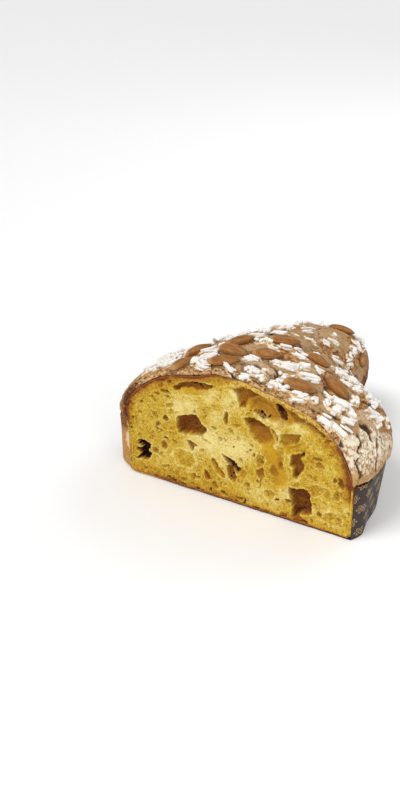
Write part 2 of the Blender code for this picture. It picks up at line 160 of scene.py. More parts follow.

# Torn hollows of the cut, in millimetres: depth, width of the wall, how brown it is inside from 0 to 1,
# partly browned crumb and partly painted shade, and the outline as right of the middle and height.
HOLLOWS = (
    (3.5, 5, 0.22, ((-8, 108), (1, 111), (11, 113), (21, 113), (33, 108), (40, 108), (49, 109),
        (57, 105), (65, 99), (74, 95), (82, 89), (79, 88), (71, 92), (62, 94), (54, 90), (44, 86),
        (36, 87), (31, 90), (23, 90), (17, 93), (9, 102), (1, 106))),
    (6, 3, 0.64, ((1, 109), (11, 113), (21, 112), (24, 108), (20, 104), (15, 102), (13, 94), (8, 94),
        (6, 101))),
    (5, 3, 0.34, ((16, 102), (23, 106), (30, 106), (37, 102), (41, 97), (45, 93), (40, 88), (34, 89),
        (29, 93), (24, 95), (17, 95))),
    (5, 2.4, 0.62, ((50, 104), (57, 103), (64, 99), (65, 95), (60, 93), (54, 93), (51, 97))),
    (9, 1.4, 0.8, ((-48, 70), (-44, 72), (-39, 73), (-35, 75), (-31, 74), (-28, 71), (-25, 68),
        (-22, 64), (-23, 61), (-26, 57), (-30, 56), (-35, 55), (-39, 55), (-43, 53), (-47, 54), (-49, 58),
        (-50, 63))),
    (9, 0.3, 1.6, ((-88, 35), (-85, 36), (-82, 36), (-80, 35), (-76, 33), (-77, 30), (-79, 28),
        (-78, 26), (-76, 25), (-76, 23), (-78, 22), (-77, 20), (-81, 17), (-84, 16), (-90, 16), (-94, 16),
        (-89, 18), (-86, 20), (-86, 22), (-91, 24), (-91, 26), (-88, 26), (-85, 28), (-88, 30))),
    (3.5, 1, 0.7, ((-41, 48), (-36, 49), (-31, 48), (-30, 46), (-34, 44), (-34, 42), (-36, 40),
        (-39, 44))),
    (3.5, 1.2, 0.5, ((-7, 80), (-6, 83), (-6, 86), (-3, 87), (-2, 84), (-2, 80), (-4, 73), (-5, 75))),
    (4.5, 1.6, 0.8, ((-53, 96), (-48, 100), (-42, 103), (-35, 105), (-26, 107), (-14, 107), (-19, 103),
        (-27, 100), (-31, 98), (-36, 99), (-42, 98), (-47, 95), (-51, 94))),
    (2.5, 6, 0.12, ((-53, 95), (-42, 103), (-26, 107), (-14, 107), (-15, 102), (-24, 96), (-37, 93),
        (-48, 92))),
    (7, 1.6, 1, ((38, 104), (41, 106), (45, 104), (48, 99), (50, 94), (48, 91), (44, 92), (42, 96),
        (40, 99))),
    (5, 1.5, 0.45, ((75, 93), (78, 94), (83, 89), (80, 86), (77, 89))),
    (4.5, 4, 0.05, ((12, 86), (17, 87), (24, 87), (31, 85), (36, 83), (38, 78), (40, 73), (41, 69),
        (37, 64), (33, 62), (28, 64), (24, 69), (21, 74), (15, 80))),
    (8, 3, 0.65, ((11, 86), (18, 88), (26, 86), (30, 82), (30, 77), (24, 77), (19, 77), (15, 79))),
    (6, 3.5, 0.5, ((15, 81), (24, 82), (31, 81), (36, 77), (38, 71), (34, 66), (27, 65), (22, 68),
        (18, 74))),
    (2.2, 5, 0, ((24, 68), (28, 62), (32, 55), (34, 47), (38, 34), (41, 27), (52, 30), (54, 39),
        (51, 48), (49, 54), (46, 60), (42, 66), (36, 69))),
    (3, 1.2, 0.35, ((36, 83), (40, 81), (42, 77), (43, 72), (41, 72), (38, 78))),
    (3.2, 1.2, 0.25, ((44, 78), (49, 81), (62, 85), (61, 79), (59, 75), (53, 72), (48, 70), (44, 70),
        (45, 74))),
    (2.4, 4, 0, ((45, 72), (52, 72), (60, 76), (66, 79), (64, 73), (56, 66), (50, 62), (45, 64))),
    (6.5, 0.9, 0.62, ((54, 62), (60, 66), (67, 69), (67, 66), (63, 64), (63, 61), (66, 58), (66, 53),
        (63, 48), (60, 43), (57, 43), (57, 50), (55, 55))),
    (9, 1.2, 0.85, ((54, 32), (61, 33), (65, 35), (70, 35), (73, 30), (74, 23), (75, 14), (70, 11),
        (66, 11), (60, 5), (57, 14), (56, 22))),
    (3.5, 2.2, 0.35, ((-18, 38), (-15, 41), (-11, 36), (-5, 27), (-4, 22), (-10, 24), (-16, 33))),
    (6, 1.4, 0.95, ((-7, 46), (-2, 45), (4, 42), (10, 36), (8, 31), (2, 34), (-4, 40))),
    (4, 1.2, 0.75, ((-3, 35), (0, 36), (5, 32), (7, 26), (4, 22), (1, 23), (-1, 28))),
    (2.5, 2.5, 0.12, ((9, 38), (14, 37), (17, 34), (15, 28), (11, 26), (8, 31))),
    (4, 1.2, 0.65, ((-24, 25), (-22, 25), (-18, 19), (-17, 17), (-21, 15), (-24, 20))),
    (3.5, 1.2, 0.7, ((-8, 10), (-4, 10), (-2, 7), (-4, 5), (-6, 7))),
    (3.2, 1.6, 0.35, ((25, 39), (28, 43), (31, 44), (32, 40), (31, 34), (28, 32), (26, 35))),
    (2.2, 1.2, 0.25, ((29, 33), (31, 33), (29, 25), (27, 22), (28, 27))),
)

# Pores of the cut: right of the middle, height, half width, half height and depth in millimetres,
# the turn in degrees, anticlockwise as the face is looked at, and how brown it is inside, partly browned
# crumb and partly painted shade.
PORES = (
    (-60, 64, 3.1, 3.5, 2.6, 0, 0.8), (-61, 45, 2.6, 1.7, 3, 0, 0.8),
    (-63, 37, 3.2, 4.4, 3, 0, 0.45), (-21, 53, 5, 2.2, 1.6, -20, 0.1),
    (-26, 43, 3, 2.4, 1.6, 0, 0.1), (-84, 74, 1.7, 1.5, 3, 0, 0.8),
    (-94, 55, 1.6, 1.5, 3, 0, 0.8), (-61, 90, 5, 2, 3, -5, 0.4),
    (-69, 85, 3.3, 1.3, 2, -20, 0.35), (-69, 52, 2.2, 1.6, 2, 0, 0.3),
    (-9, 59, 1.6, 3, 2, 0, 0.2), (-5, 59, 1.2, 2, 2, 0, 0.2),
    (-33, 78, 1.4, 2.2, 3, 20, 0.3), (-43, 30, 10, 8, 0.8, 0, 0),
    (77, 67, 4, 2.2, 2, -10, 0.3), (80, 61, 4, 2.5, 2, -5, 0.3),
    (77, 37, 6.5, 5.5, 1.3, 20, 0.1), (86, 36, 5, 6.5, 1.3, 10, 0.05),
    (97, 40, 3.4, 2.8, 1.6, -10, 0.2), (93, 15, 8, 6, 1, 10, 0.05),
    (37, 20, 5, 4.6, 2, 0, 0.2), (44, 17, 1.8, 1.2, 3, 0, 0.9), (54, 19, 2.6, 2.6, 3, 0, 0.7),
    (40, 43, 3, 5, 2, 20, 0.1), (46, 49, 3, 4, 2, 0, 0.1),
    (28, 51, 4, 5, 2, 10, 0.15), (82, 15, 2.6, 2.4, 2, 0, 0.3), (93, 52, 2, 3, 2.5, 0, 0.5),
    (-5, 7, 3.9, 2.1, 3, -20, 0.6), (10, 7, 3.8, 1.5, 2.5, -15, 0.5),
    (-55, 5, 5.6, 1.7, 3, -10, 0.95), (-34, 15, 2.9, 4.2, 2, -20, 0.3),
    (-71, 29, 3.8, 3, 2, 0, 0.3), (62, 104, 4.6, 2.6, 3, -40, 0.25),
    (84, 85, 2.7, 2.3, 2, 0, 0.2), (45, 58, 3.8, 11, 1.6, 5, 0.1),
    (-15, 68, 2.7, 2.1, 2, 0, 0.1), (8, 64, 2.7, 2.4, 2, 0, 0.05), (65, 5, 8, 3, 3, -10, 0.6),
    (17, 22, 3.4, 2.6, 2, 0, 0.2), (18, 93, 0.9, 0.7, 3, 0, 1), (21, 94, 1.1, 0.8, 3, 0, 1),
    (24, 92, 0.9, 0.8, 3, 0, 1.05), (27, 93, 1.4, 0.9, 3, 0, 1.1), (30, 92, 1.4, 1.1, 4, 0, 1.1),
    (33, 91, 1.1, 1.2, 3, 0, 1), (28, 90, 1, 0.9, 3, 0, 1),
    (27, 92, 6, 2.4, 1.2, -20, 0.8), (-33, 103, 7, 1.1, 2.5, -8, 1.15),
    (44, 101, 2, 3, 2, 0, 1.1), (-45, 4, 3, 1.1, 2.5, -12, 0.95),
    (-28, 3, 4, 0.9, 2, -10, 0.6), (30, 3, 5, 1, 2, -10, 0.6),
    (20, 62, 1.2, 1.6, 3, 0, 1), (19, 57, 0.9, 1.4, 3, 0, 1), (17, 54, 1, 0.9, 3, 0, 0.9),
    (22, 53, 0.9, 1.6, 2, 0, 0.8), (4, 55, 1.1, 1, 2, 0, 0.7), (9, 34, 1.4, 1.4, 3, 0, 0.95),
    (26, 29, 1.2, 1.4, 3, 0, 0.7), (-17, 6, 1.2, 2.6, 3, 35, 1),
    (15, 5, 1.2, 3.2, 3, -25, 0.8), (-13, 12, 2.6, 3.4, 2, 30, 0.25),
    (-31, 15, 4, 1.6, 2, 0, 0.3), (11, 44, 2, 2.6, 2, 30, 0.2),
    (27, 47, 3, 4, 2, -20, 0.2), (-37, 47, 2, 3, 2, 10, 0.3),
    (98, 50, 2.4, 5, 3, 15, 0.75), (1, 33, 1, 1.3, 4, 20, 1.3), (3, 28, 1, 1.4, 4, 0, 1.3),
    (0, 25, 1.2, 0.9, 4, 0, 1.2), (-96, 45, 1.6, 1.3, 2.5, 0, 0.8), (-66, 51, 1.8, 1.4, 2, 0, 0.6),
    (-58, 85, 3.2, 1.5, 2, -20, 0.4), (-74, 81, 2.6, 1.2, 2, -20, 0.5),
    (-69, 55, 1.5, 1.3, 2, 0, 0.5), (-57, 100, 2.4, 1.6, 2.5, 0, 0.6),
)

# Where the crumb is palest: right of the middle, height and radius in millimetres, and how pale.
PALE_CRUMB = (
    (-47, 79, 11, 0.7), (-36, 83, 10, 0.9), (-17, 95, 11, 0.7), (-3, 93, 11, 0.7), (3, 104, 6, 0.8),
    (-13, 80, 10, 0.6), (-17, 53, 15, 0.9), (-2, 52, 15, 0.9), (9, 55, 13, 0.8), (-30, 46, 12, 0.7),
    (29, 92, 6, 0.8), (43, 90, 7, 0.9), (58, 88, 7, 0.8), (43, 79, 4, 0.9), (47, 35, 6, 0.6),
    (51, 24, 7, 0.6), (24, 13, 14, 0.5), (40, 11, 10, 0.4), (-62, 22, 14, 0.2), (-8, 36, 4, 0.8),
    (-62, 70, 13, 0.2), (86, 57, 12, 0.25), (88, 24, 14, 0.25), (103, 28, 7, 0.5), (-80, 62, 14, 0.1),
)

# Areas of the cut, across and up, in millimetres: where each starts, and how far on from there it is
# full. A distance below zero goes left or down.
AREAS = {
    "ledge": ((-8, 24), (82, 10)),
    "left top": ((-5, -20), (55, 20)),
    "left foot": ((-75, -10), (54, -10)),
    "right foot": ((70, 20), (40, -12)),
    "bare wall": ((-60, -20), (60, -8)),
    "both feet": ((80, 8), (50, -6)),
    "core": ((60, -50), (75, -50)),
}
# The middle and the spread of two smaller places, and starts and distances as above for the ledge.
RIGHT_LOW_ACROSS = (106, 13)
RIGHT_LOW_UP = (60, 18)
BLOOM_UP = (29, 11)
BLOOM_BEHIND = (3, 3)
LEDGE_WIDENS = (46, 10)
GROOVE_STARTS = (30, 20)
GROOVE_BEYOND = (2.8, 3.0)
GROOVE_DEPTH = 3.2 * MM

# Pores are drawn out along the crust, as a fan round a place below the cut, and the core's own way.
FAN_ACROSS = 5 * MM
FAN_BELOW = 40 * MM
FAN_SHARE = 0.5
CORE_ACROSS = 15 * MM
CORE_TURN = math.radians(-62)
SMALL_PORE = 0.62 * MM

# How far the crumb is browned against the crust, and what each area adds to that.
BAKED_WIDTH = 4.2 * MM
BAKED_RIGHT_LOW = 13 * MM
BAKED_LEFT_TOP = 3.5 * MM
BAKED_LEDGE = -2.6 * MM
BAKED_RIGHT_FOOT = -1.8 * MM
BAKED_WIDE = 15 * MM

# Areas of the glaze, in millimetres as above: its pale cracked side on the right wing, its crumbled
# front, and its scorched left end and foot of the tail.
FLOUR_ACROSS = (92, 5)
FLOUR_BEHIND = (52, 24)
FLOUR_TOP = 87 * MM
FLOUR_FALL = 0.55
FLOUR_FALL_FROM = 24 * MM
FRONT_BEHIND = (3, 7)
FRONT_FADES_ACROSS = (20, 30)
SCORCHED_ACROSS = (-75, -15)
SCORCHED_UP = (92, -10)
TAIL_BEHIND = (158, 16)
TAIL_ACROSS = (40, 8)
TAIL_UP = (68, -8)

# The finished meshes, and how finely the dove's plan is searched.
PLAN_STEPS = 2880
PLAN_REACH = 300 * MM
PLAN_HALVINGS = 40
GLAZE_COLUMNS = 640
GLAZE_ROWS = 104
GLAZE_EDGE_ROWS = 4
GLAZE_COARSER = 8
CRUST_COLUMNS = 288
CRUST_ROWS = 24
CRUST_RIM_ROWS = 4
CRUST_BASE_STEPS = 120
PAPER_COLUMNS = 480
PAPER_ROWS = 10
CORE_COLUMNS = 144
CORE_ROWS = 16
CORE_PAST_CUT = 8 * MM
EDGE_ROWS = 60
CUT_STEP = 0.6 * MM
CUT_HALF_WIDTH = 121 * MM
CUT_HEIGHT = 124 * MM
CUT_BACK = 230 * MM
LEDGE_WIDTH = 5.0 * MM
SEED = 7


def smooth(t):
    """0 below 0, 1 above 1, and an even S between them."""
    t = np.clip(t, 0.0, 1.0)
    return t * t * (3 - 2 * t)


def rise(value, start, run):
    """0 at a start and 1 a run further on, in millimetres, and an even S between. Below 0 it runs back."""
    return smooth((value - start * MM) / (run * MM))


def hill(value, middle, spread):
    """1 at a middle and falling like a bell on both sides of it, in millimetres."""
    return np.exp(-((value - middle * MM) / (spread * MM)) ** 2)


def scattered(cells):
    """A number from 0 to 4095 for each cell of a grid, the same one each time."""
    return (cells[..., 0] * 73856093 ^ cells[..., 1] * 19349663 ^ cells[..., 2] * 83492791) & 4095


def value_noise(points, size, seed):
    """Smooth noise from -1 to 1 at rows of points, with features of one size."""
    table = np.random.default_rng(seed).uniform(-1, 1, 4096)
    cell = np.asarray(points) / size
    low = np.floor(cell).astype(np.int64)
    step = cell - low
    step = step * step * (3 - 2 * step)
    total = 0.0
    for corner in range(8):
        bits = [corner & 1, corner >> 1 & 1, corner >> 2 & 1]
        share = np.prod(np.where(bits, step, 1 - step), axis=-1)
        total = total + share * table[scattered(low + bits)]
    return total


def fractal(points, size, seed, octaves=3):
    """Noise with finer and finer features added."""
    total, height = 0.0, 1.0
    for octave in range(octaves):
        total = total + height * value_noise(points, size / 2 ** octave, seed + octave)
        height *= 0.5
    return total


def cell_distances(points, size, seed):
    """Distances to the nearest and the second nearest of scattered seeds, as shares of the size."""
    table = np.random.default_rng(seed).uniform(0.1, 0.9, (4096, 3))
    cell = np.asarray(points) / size
    low = np.floor(cell).astype(np.int64)
    nearest = np.full(cell.shape[:-1], 9.0)
    second = nearest.copy()
    for i in range(27):
        at = low + [i % 3 - 1, i // 3 % 3 - 1, i // 9 - 1]
        away = np.linalg.norm(at + table[scattered(at)] - cell, axis=-1)
        second = np.minimum(second, np.maximum(nearest, away))
        nearest = np.minimum(nearest, away)
    return nearest, second


def linear(code):
    """A colour for the shaders from a web colour code."""
    shares = [int(code[i:i + 2], 16) / 255 for i in (1, 3, 5)]
    return tuple(s / 12.92 if s <= 0.04045 else ((s + 0.055) / 1.055) ** 2.4 for s in shares)


# The shape of the dove

def wing_gauge(x, depth):
    """0 in the middle of the wings and 1 on their outline."""
    left = rise(x, 0, -LEFT_WING_RUN)
    middle = WING_DEPTH + LEFT_WING_SWEEP * left
    behind = rise(depth - middle, 0, WING_BACK_RUN)
    half = WING_DEPTH_HALF - LEFT_WING_SLIMMER * left * behind
    across = (np.abs(x) / WING_SPAN_HALF) ** WING_SQUARENESS
    along = (np.abs(depth - middle) / half) ** WING_SQUARENESS
    return (across + along) ** (1 / WING_SQUARENESS)


def body_gauge(x, depth):
    """0 in the middle of the dove's body and 1 on its outline."""
    axis = TAIL_SHIFT * smooth(depth / TAIL_SHIFT_DEPTH)
    half = BODY_HALF + BODY_LEFT_WIDER * rise(x, 0, -BODY_LEFT_RUN)
    across = (np.abs(x - axis) / half) ** BODY_SQUARENESS
    along = (np.abs(depth - WING_DEPTH) / BODY_LENGTH_HALF) ** BODY_SQUARENESS
    return (across + along) ** (1 / BODY_SQUARENESS)


def dove_gauge(x, depth):
    """The wings and the body, run softly into each other: 1 on the widest line of the dove."""
    wings = np.exp(-wing_gauge(x, depth) / NOTCH_SOFTNESS)
    body = np.exp(-body_gauge(x, depth) / NOTCH_SOFTNESS)
    return -NOTCH_SOFTNESS * np.log(wings + body)


def dome_height(x, depth):
    """Height of the crust above the widest line."""
    top = CROWN_RISE - TAIL_FALL * smooth(depth / TAIL_FALL_DEPTH)
    top = top - LEFT_WING_FALL * rise(x, 0, -LEFT_FALL_RUN) * rise(depth, 0, BACK_FALL_RUN)
    apart = (x - CROWN_BUMP_X) ** 2 + (depth - CROWN_BUMP_DEPTH) ** 2
    top = top + CROWN_BUMP * np.exp(-apart / (2 * CROWN_BUMP_SPREAD ** 2))
    gauge = np.clip(dove_gauge(x, depth), 0, 1)
    return SHOULDER_HEIGHT + top * (1 - gauge ** DOME_FLATNESS) ** DOME_SHOULDER


def pinched(x, depth, height):
    """The place across the loaf, after the knife has pressed the ends of the cut inwards."""
    fade = 1 - smooth(depth / PINCH_DEPTH)
    high = smooth((height - PINCH_LOW_HEIGHT) / (PINCH_HIGH_HEIGHT - PINCH_LOW_HEIGHT))
    left = PINCH_LEFT_LOW + (PINCH_LEFT_HIGH - PINCH_LEFT_LOW) * high
    return x * (1 - np.where(x > 0, PINCH_RIGHT, left) * fade)


def widest_line(steps):
    """Even steps (x, depth) round the dove, from the right end of the cut to its left end."""
    angles = np.linspace(0, math.pi, PLAN_STEPS + 1)
    near = np.zeros_like(angles)
    far = np.full_like(angles, PLAN_REACH)
    for _ in range(PLAN_HALVINGS):
        middle = (near + far) / 2
        inside = dove_gauge(middle * np.cos(angles), middle * np.sin(angles)) < 1
        near = np.where(inside, middle, near)
        far = np.where(inside, far, middle)
    line = np.stack([near * np.cos(angles), near * np.sin(angles)], axis=1)
    length = distances_along(line)
    even = np.linspace(0, length[-1], steps + 1)
    line = np.stack([np.interp(even, length, line[:, k]) for k in (0, 1)], axis=1)
    line[[0, -1], 1] = 0
    return line


def distances_along(line):
    """Distances along a line of points, from its first point."""
    return np.concatenate([[0], np.cumsum(np.hypot(*np.diff(line, axis=0).T))])


def outward(line):
    """Unit normals of a line in plan. The two at the cut lie in the cut."""
    run = np.gradient(line, axis=0)
    normal = np.stack([run[:, 1], -run[:, 0]], axis=1)
    normal /= np.linalg.norm(normal, axis=1)[:, None]
    normal[0] = (1, 0)
    normal[-1] = (-1, 0)
    return normal


def ring(line, inset, height):
    """A ring of points at one height, set in from the widest line."""
    plan = line - outward(line) * np.broadcast_to(inset, len(line))[:, None]
    plan[[0, -1], 1] = 0
    x = pinched(plan[:, 0], plan[:, 1], height)
    return np.stack([x, plan[:, 1], np.broadcast_to(height, len(line))], axis=1)


def swell(line):
    """0 at the cut and 1 where the crust hangs fully over the paper."""
    return smooth(line[:, 1] / SWELL_DEPTH)


def bare(line):
    """1 at the left end of the cut, where the paper is gone, and 0 wherever paper covers the crust."""
    return np.where(line[:, 0] < 0, 1 - smooth((line[:, 1] - BARE_DEPTH) / BARE_DEPTH), 0)


def grid_normals(rows):
    """Outward unit normals of rows of points. Those at the cut lie in the cut."""
    along = np.gradient(rows, axis=1)
    up = np.gradient(rows, axis=0)
    normals = np.cross(along, up)
    normals[:, [0, -1], 1] = 0
    normals[-1] += normals[-1, ::-1]
    normals[-1, :, 0] = 0
    tail = rows.shape[1] // 2
    normals[-1, tail] = normals[-1, tail - 1]
    return normals / np.linalg.norm(normals, axis=2)[:, :, None]


def envelope(line, edge_rows, dome_rows):
    """Rows of points over the glazed crust, from its lower edge up to the spine of the loaf."""
    rows = []
    for row in range(edge_rows):
        share = row / edge_rows
        height = GLAZE_EDGE_HEIGHT + (SHOULDER_HEIGHT - GLAZE_EDGE_HEIGHT) * share
        rows.append(ring(line, CRUST_OVERHANG / 2 * swell(line) * (1 - share), height))
    rows.append(ring(line, 0, SHOULDER_HEIGHT))
    spine_depth = SPINE_SHARE * (line[:, 1] + line[::-1, 1]) / 2
    spine = np.stack([np.zeros(len(line)), spine_depth], axis=1)
    for row in range(1, dome_rows + 1):
        plan = spine + (line - spine) * math.cos(math.pi / 2 * row / dome_rows)
        height = dome_height(plan[:, 0], plan[:, 1])
        rows.append(np.stack([pinched(plan[:, 0], plan[:, 1], height), plan[:, 1], height], axis=1))
    rows[-1][:, 0] = 0
    rows = np.array(rows)
    normals = grid_normals(rows)
    fade = smooth(np.arange(len(rows)) / max(edge_rows, 1))
    lumps = [[LUMP_HEIGHT * noise.noise(Vector(point / LUMP_SIZE)) for point in row] for row in rows]
    rows += normals * (np.array(lumps) * fade[:, None])[:, :, None]
    rows[:, [0, -1], 1] = 0
    return rows, grid_normals(rows)


def set_in(rows, normals, distance):
    """Rows of points moved inwards by a distance."""
    moved = rows - normals * distance
    moved[:, [0, -1], 1] = 0
    return moved


# Meshes

def strips(rows, columns, first=0):
    """Faces between neighbouring rows of points that are numbered row by row."""
    corner = (np.arange(rows - 1)[:, None] * columns + np.arange(columns - 1) + first).ravel()
    return np.stack([corner, corner + 1, corner + columns + 1, corner + columns], axis=1).tolist()


def new_object(name, mesh):
    """An object in the scene for a mesh that is already in place."""
    body = bpy.data.objects.new(name, mesh)
    bpy.context.scene.collection.objects.link(body)
    return body


def build(name, points, faces, material=None, values=None, merge=1e-6):
    """A closed mesh object from points of x, depth and height, with named values for each point."""
    points = np.asarray(points, dtype=float).reshape(-1, 3)
    mesh = bpy.data.meshes.new(name)
    mesh.from_pydata((points + (0, CUT_Y, 0)).tolist(), [], faces)
    for key, numbers in (values or {}).items():
        write_values(mesh, key, numbers)
    bm = bmesh.new()
    bm.from_mesh(mesh)
    bmesh.ops.remove_doubles(bm, verts=bm.verts, dist=merge)
    bmesh.ops.recalc_face_normals(bm, faces=bm.faces)
    bm.to_mesh(mesh)
    bm.free()
    mesh.shade_smooth()
    if material:
        mesh.materials.append(material)
    return new_object(name, mesh)


def write_values(mesh, key, numbers):
    """Stores one number, or one vector, for each point of a mesh."""
    numbers = np.asarray(numbers, dtype=np.float32)
    if numbers.ndim == 2:
        mesh.attributes.new(key, "FLOAT_VECTOR", "POINT").data.foreach_set("vector", numbers.ravel())
    else:
        mesh.attributes.new(key, "FLOAT", "POINT").data.foreach_set("value", numbers)


def mesh_points(mesh):
    """The points of a mesh as rows of x, depth and height."""
    points = np.empty(len(mesh.vertices) * 3)
    mesh.vertices.foreach_get("co", points)
    return points.reshape(-1, 3) - (0, CUT_Y, 0)


def settle(piece, nodes):
    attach(piece, "root")
    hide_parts(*nodes)


# Shader and geometry nodes

class Wire:
    """An output socket on which Python's operators add Math nodes."""

    def __init__(self, maker, socket):
        self.maker = maker
        self.socket = socket

    def __add__(self, other):
        return self.maker.math("ADD", self, other)

    def __sub__(self, other):
        return self.maker.math("SUBTRACT", self, other)

    def __rsub__(self, other):
        return self.maker.math("SUBTRACT", other, self)

    def __mul__(self, other):
        return self.maker.math("MULTIPLY", self, other)

    def __truediv__(self, other):
        return self.maker.math("DIVIDE", self, other)

    __radd__ = __add__
    __rmul__ = __mul__


class Maker:
    """Adds nodes to one tree."""

    def __init__(self, tree):
        self.tree = tree

    def node(self, kind, settings=None, sockets=None, output=0):
        """One node: its settings first, then the values or links of its sockets."""
        made = self.tree.nodes.new(kind)
        for name, value in (settings or {}).items():
            if name == "stops":
                self.set_stops(made.color_ramp, value)
            else:
                setattr(made, name, value)
        for key, value in (sockets or {}).items():
            if isinstance(value, Wire):
                self.tree.links.new(value.socket, made.inputs[key])
            else:
                made.inputs[key].default_value = value
        return Wire(self, made.outputs[output]) if made.outputs else made

    @staticmethod
    def set_stops(ramp, stops):
        """Places the colours of a ramp."""
        while len(ramp.elements) < len(stops):
            ramp.elements.new(0.5)
        for element, (position, colour) in zip(ramp.elements, stops):
            element.position = position
            element.color = (*colour, 1)

    def outputs(self, wire):
        """Every output of the node that a wire comes from."""
        return [Wire(self, socket) for socket in wire.socket.node.outputs]

    def parts(self, vector):
        """The three parts of a vector."""
        return self.outputs(self.node("ShaderNodeSeparateXYZ", {}, {0: vector}))

    def largest(self, first, *others):
        """The largest of some numbers."""
        for other in others:
            first = self.math("MAXIMUM", first, other)
        return first

    def math(self, operation, *numbers, clamp=False):
        """A Math node."""
        settings = {"operation": operation, "use_clamp": clamp}
        return self.node("ShaderNodeMath", settings, dict(enumerate(numbers)))

    def step(self, value, low, high, to_low=0.0, to_high=1.0):
        """A soft step from one number to another while a value goes from low to high."""
        sockets = {0: value, 1: low, 2: high, 3: to_low, 4: to_high}
        return self.node("ShaderNodeMapRange", {"interpolation_type": "SMOOTHSTEP"}, sockets)

    def mix(self, share, first, second):
        """A colour between two colours."""
        first, second = [c if isinstance(c, Wire) else (*c, 1) for c in (first, second)]
        return self.node("ShaderNodeMix", {"data_type": "RGBA"}, {0: share, 6: first, 7: second}, 2)

    def ramp(self, share, stops):
        """A colour from a ramp."""
        return self.node("ShaderNodeValToRGB", {"stops": stops}, {0: share})

    def place(self):
        """Object coordinates."""
        return self.node("ShaderNodeTexCoord", output=3)

    def values(self, names):
        """The numbers of these names that are stored for each point of the mesh."""
        return [self.node("ShaderNodeAttribute", {"attribute_name": name}, output=2)
                for name in names.split()]

    def vector(self, name):
        """A vector that is stored for each point of the mesh."""
        return self.node("ShaderNodeAttribute", {"attribute_name": name}, output=1)

    def grain(self, place, size, detail=2.0, roughness=0.5):
        """Noise from 0 to 1 with features of one size."""
        sockets = {"Vector": place, "Scale": 1 / size, "Detail": detail, "Roughness": roughness}
        return self.node("ShaderNodeTexNoise", {}, sockets)

    def warped(self, place, size, distance, stretch):
        """Coordinates that are stretched, and bent about by noise."""
        sockets = {"Vector": place, "Scale": 1 / size, "Detail": 2.0}
        bend = self.node("ShaderNodeTexNoise", {}, sockets, 1)
        straight = self.node("ShaderNodeVectorMath", {"operation": "MULTIPLY"}, {0: place, 1: stretch})
        return self.node("ShaderNodeVectorMath", {"operation": "MULTIPLY_ADD"},
                         {0: bend, 1: (distance,) * 3, 2: straight})

    def cells(self, place, size, feature="F1"):
        """Distance from scattered seeds, as a share of their size."""
        return self.node("ShaderNodeTexVoronoi", {"feature": feature}, {"Vector": place, "Scale": 1 / size})

    def bump(self, height, strength, distance):
        """A normal from a height."""
        sockets = {"Height": height, "Strength": strength, "Distance": distance}
        return self.node("ShaderNodeBump", {}, sockets)


def surface(name, colour, roughness, normal=None, **constants):
    """A material whose colour, roughness and normal come from the wires that are given."""
    material = colour.maker.material
    material.name = name
    shader = material.node_tree.nodes["Principled BSDF"]
    links = material.node_tree.links
    links.new(colour.socket, shader.inputs["Base Color"])
    if isinstance(roughness, Wire):
        links.new(roughness.socket, shader.inputs["Roughness"])
    else:
        shader.inputs["Roughness"].default_value = roughness
    if normal:
        links.new(normal.socket, shader.inputs["Normal"])
    for key, value in constants.items():
        shader.inputs[key.replace("_", " ")].default_value = value
    return material


def new_maker():
    """A maker for the nodes of a new material."""
    material = bpy.data.materials.new("finish")
    material.use_nodes = True
    maker = Maker(material.node_tree)
    maker.material = material
    return maker


# What a user would change

def colour_property(name, description, code):
    """A colour setting."""
    return FloatVectorProperty(
        name=name, description=description, subtype="COLOR", size=3, min=0, max=1, default=linear(code))


def length_property(name, description, default):
    """A length setting."""
    return FloatProperty(
        name=name, description=description, unit="LENGTH", min=0, precision=5, default=default)


class ColombaCrumbSettings(bpy.types.PropertyGroup):
    """The cut face and the crust round it."""

    pore_count: IntProperty(
        name="Small pores", description="How many small pores the cut shows", default=2600, min=0)
    crust_thickness: length_property("Crust", "Thickness of the baked crust", 1.3 * MM)
    pale: colour_property("Pale crumb", "Crumb between the pores", "#EAD88E")
    golden: colour_property("Golden crumb", "Crumb inside shallow pores", "#C7A32B")
    amber: colour_property("Amber crumb", "Smooth crumb inside the wide hollows", "#C89A1C")
    # Ochre and brown crumb also stand for painted shade inside the hollows and pores and under the ledge.
    ochre: colour_property("Ochre crumb", "Crumb deep inside the pores", "#A67320")
    brown: colour_property("Brown crumb", "Crumb inside the brown pores", "#733610")
    ledge: colour_property("Golden ledge", "Thin golden crust along the top right", "#DEB245")
    crust: colour_property("Crust", "Baked crust at the cut", "#98571F")
    # Dark crust also paints the shade in the darkest holes of the crumb.
    dark: colour_property("Dark crust", "Most baked edge of the crust", "#3A1B15")
    wall: colour_property("Bare wall", "Tan wall of the crust where the paper is gone", "#BC8F4E")
    bloom: colour_property("Bloom", "Pale bloom on the bare wall of the crust", "#D8BE98")


class ColombaGlazeSettings(bpy.types.PropertyGroup):
    """The baked glaze on the crust."""

    pit_depth: length_property("Pit depth", "How deep the pits of the glaze are", 0.9 * MM)
    crack_depth: length_property("Crack depth", "How deep the cracks of the glaze are", 1.4 * MM)
    light: colour_property("Light glaze", "Palest part of the smooth glaze", "#C8A77A")
    dark: colour_property("Dark glaze", "Darkest part of the smooth glaze", "#865829")
    cream: colour_property("Cream glaze", "Glaze that dried pale round the sugar", "#F1E3C8")
    tan: colour_property("Tan glaze", "Glaze under the cream flakes", "#C09255")
    brown: colour_property("Broken glaze", "Glaze that broke up and browned", "#864F22")
    # Painted shade in the cracks, pits and holes of the glaze, and the painted shadow round the almonds.
    shade: colour_property("Cracks", "Inside cracks and pits", "#38200F")


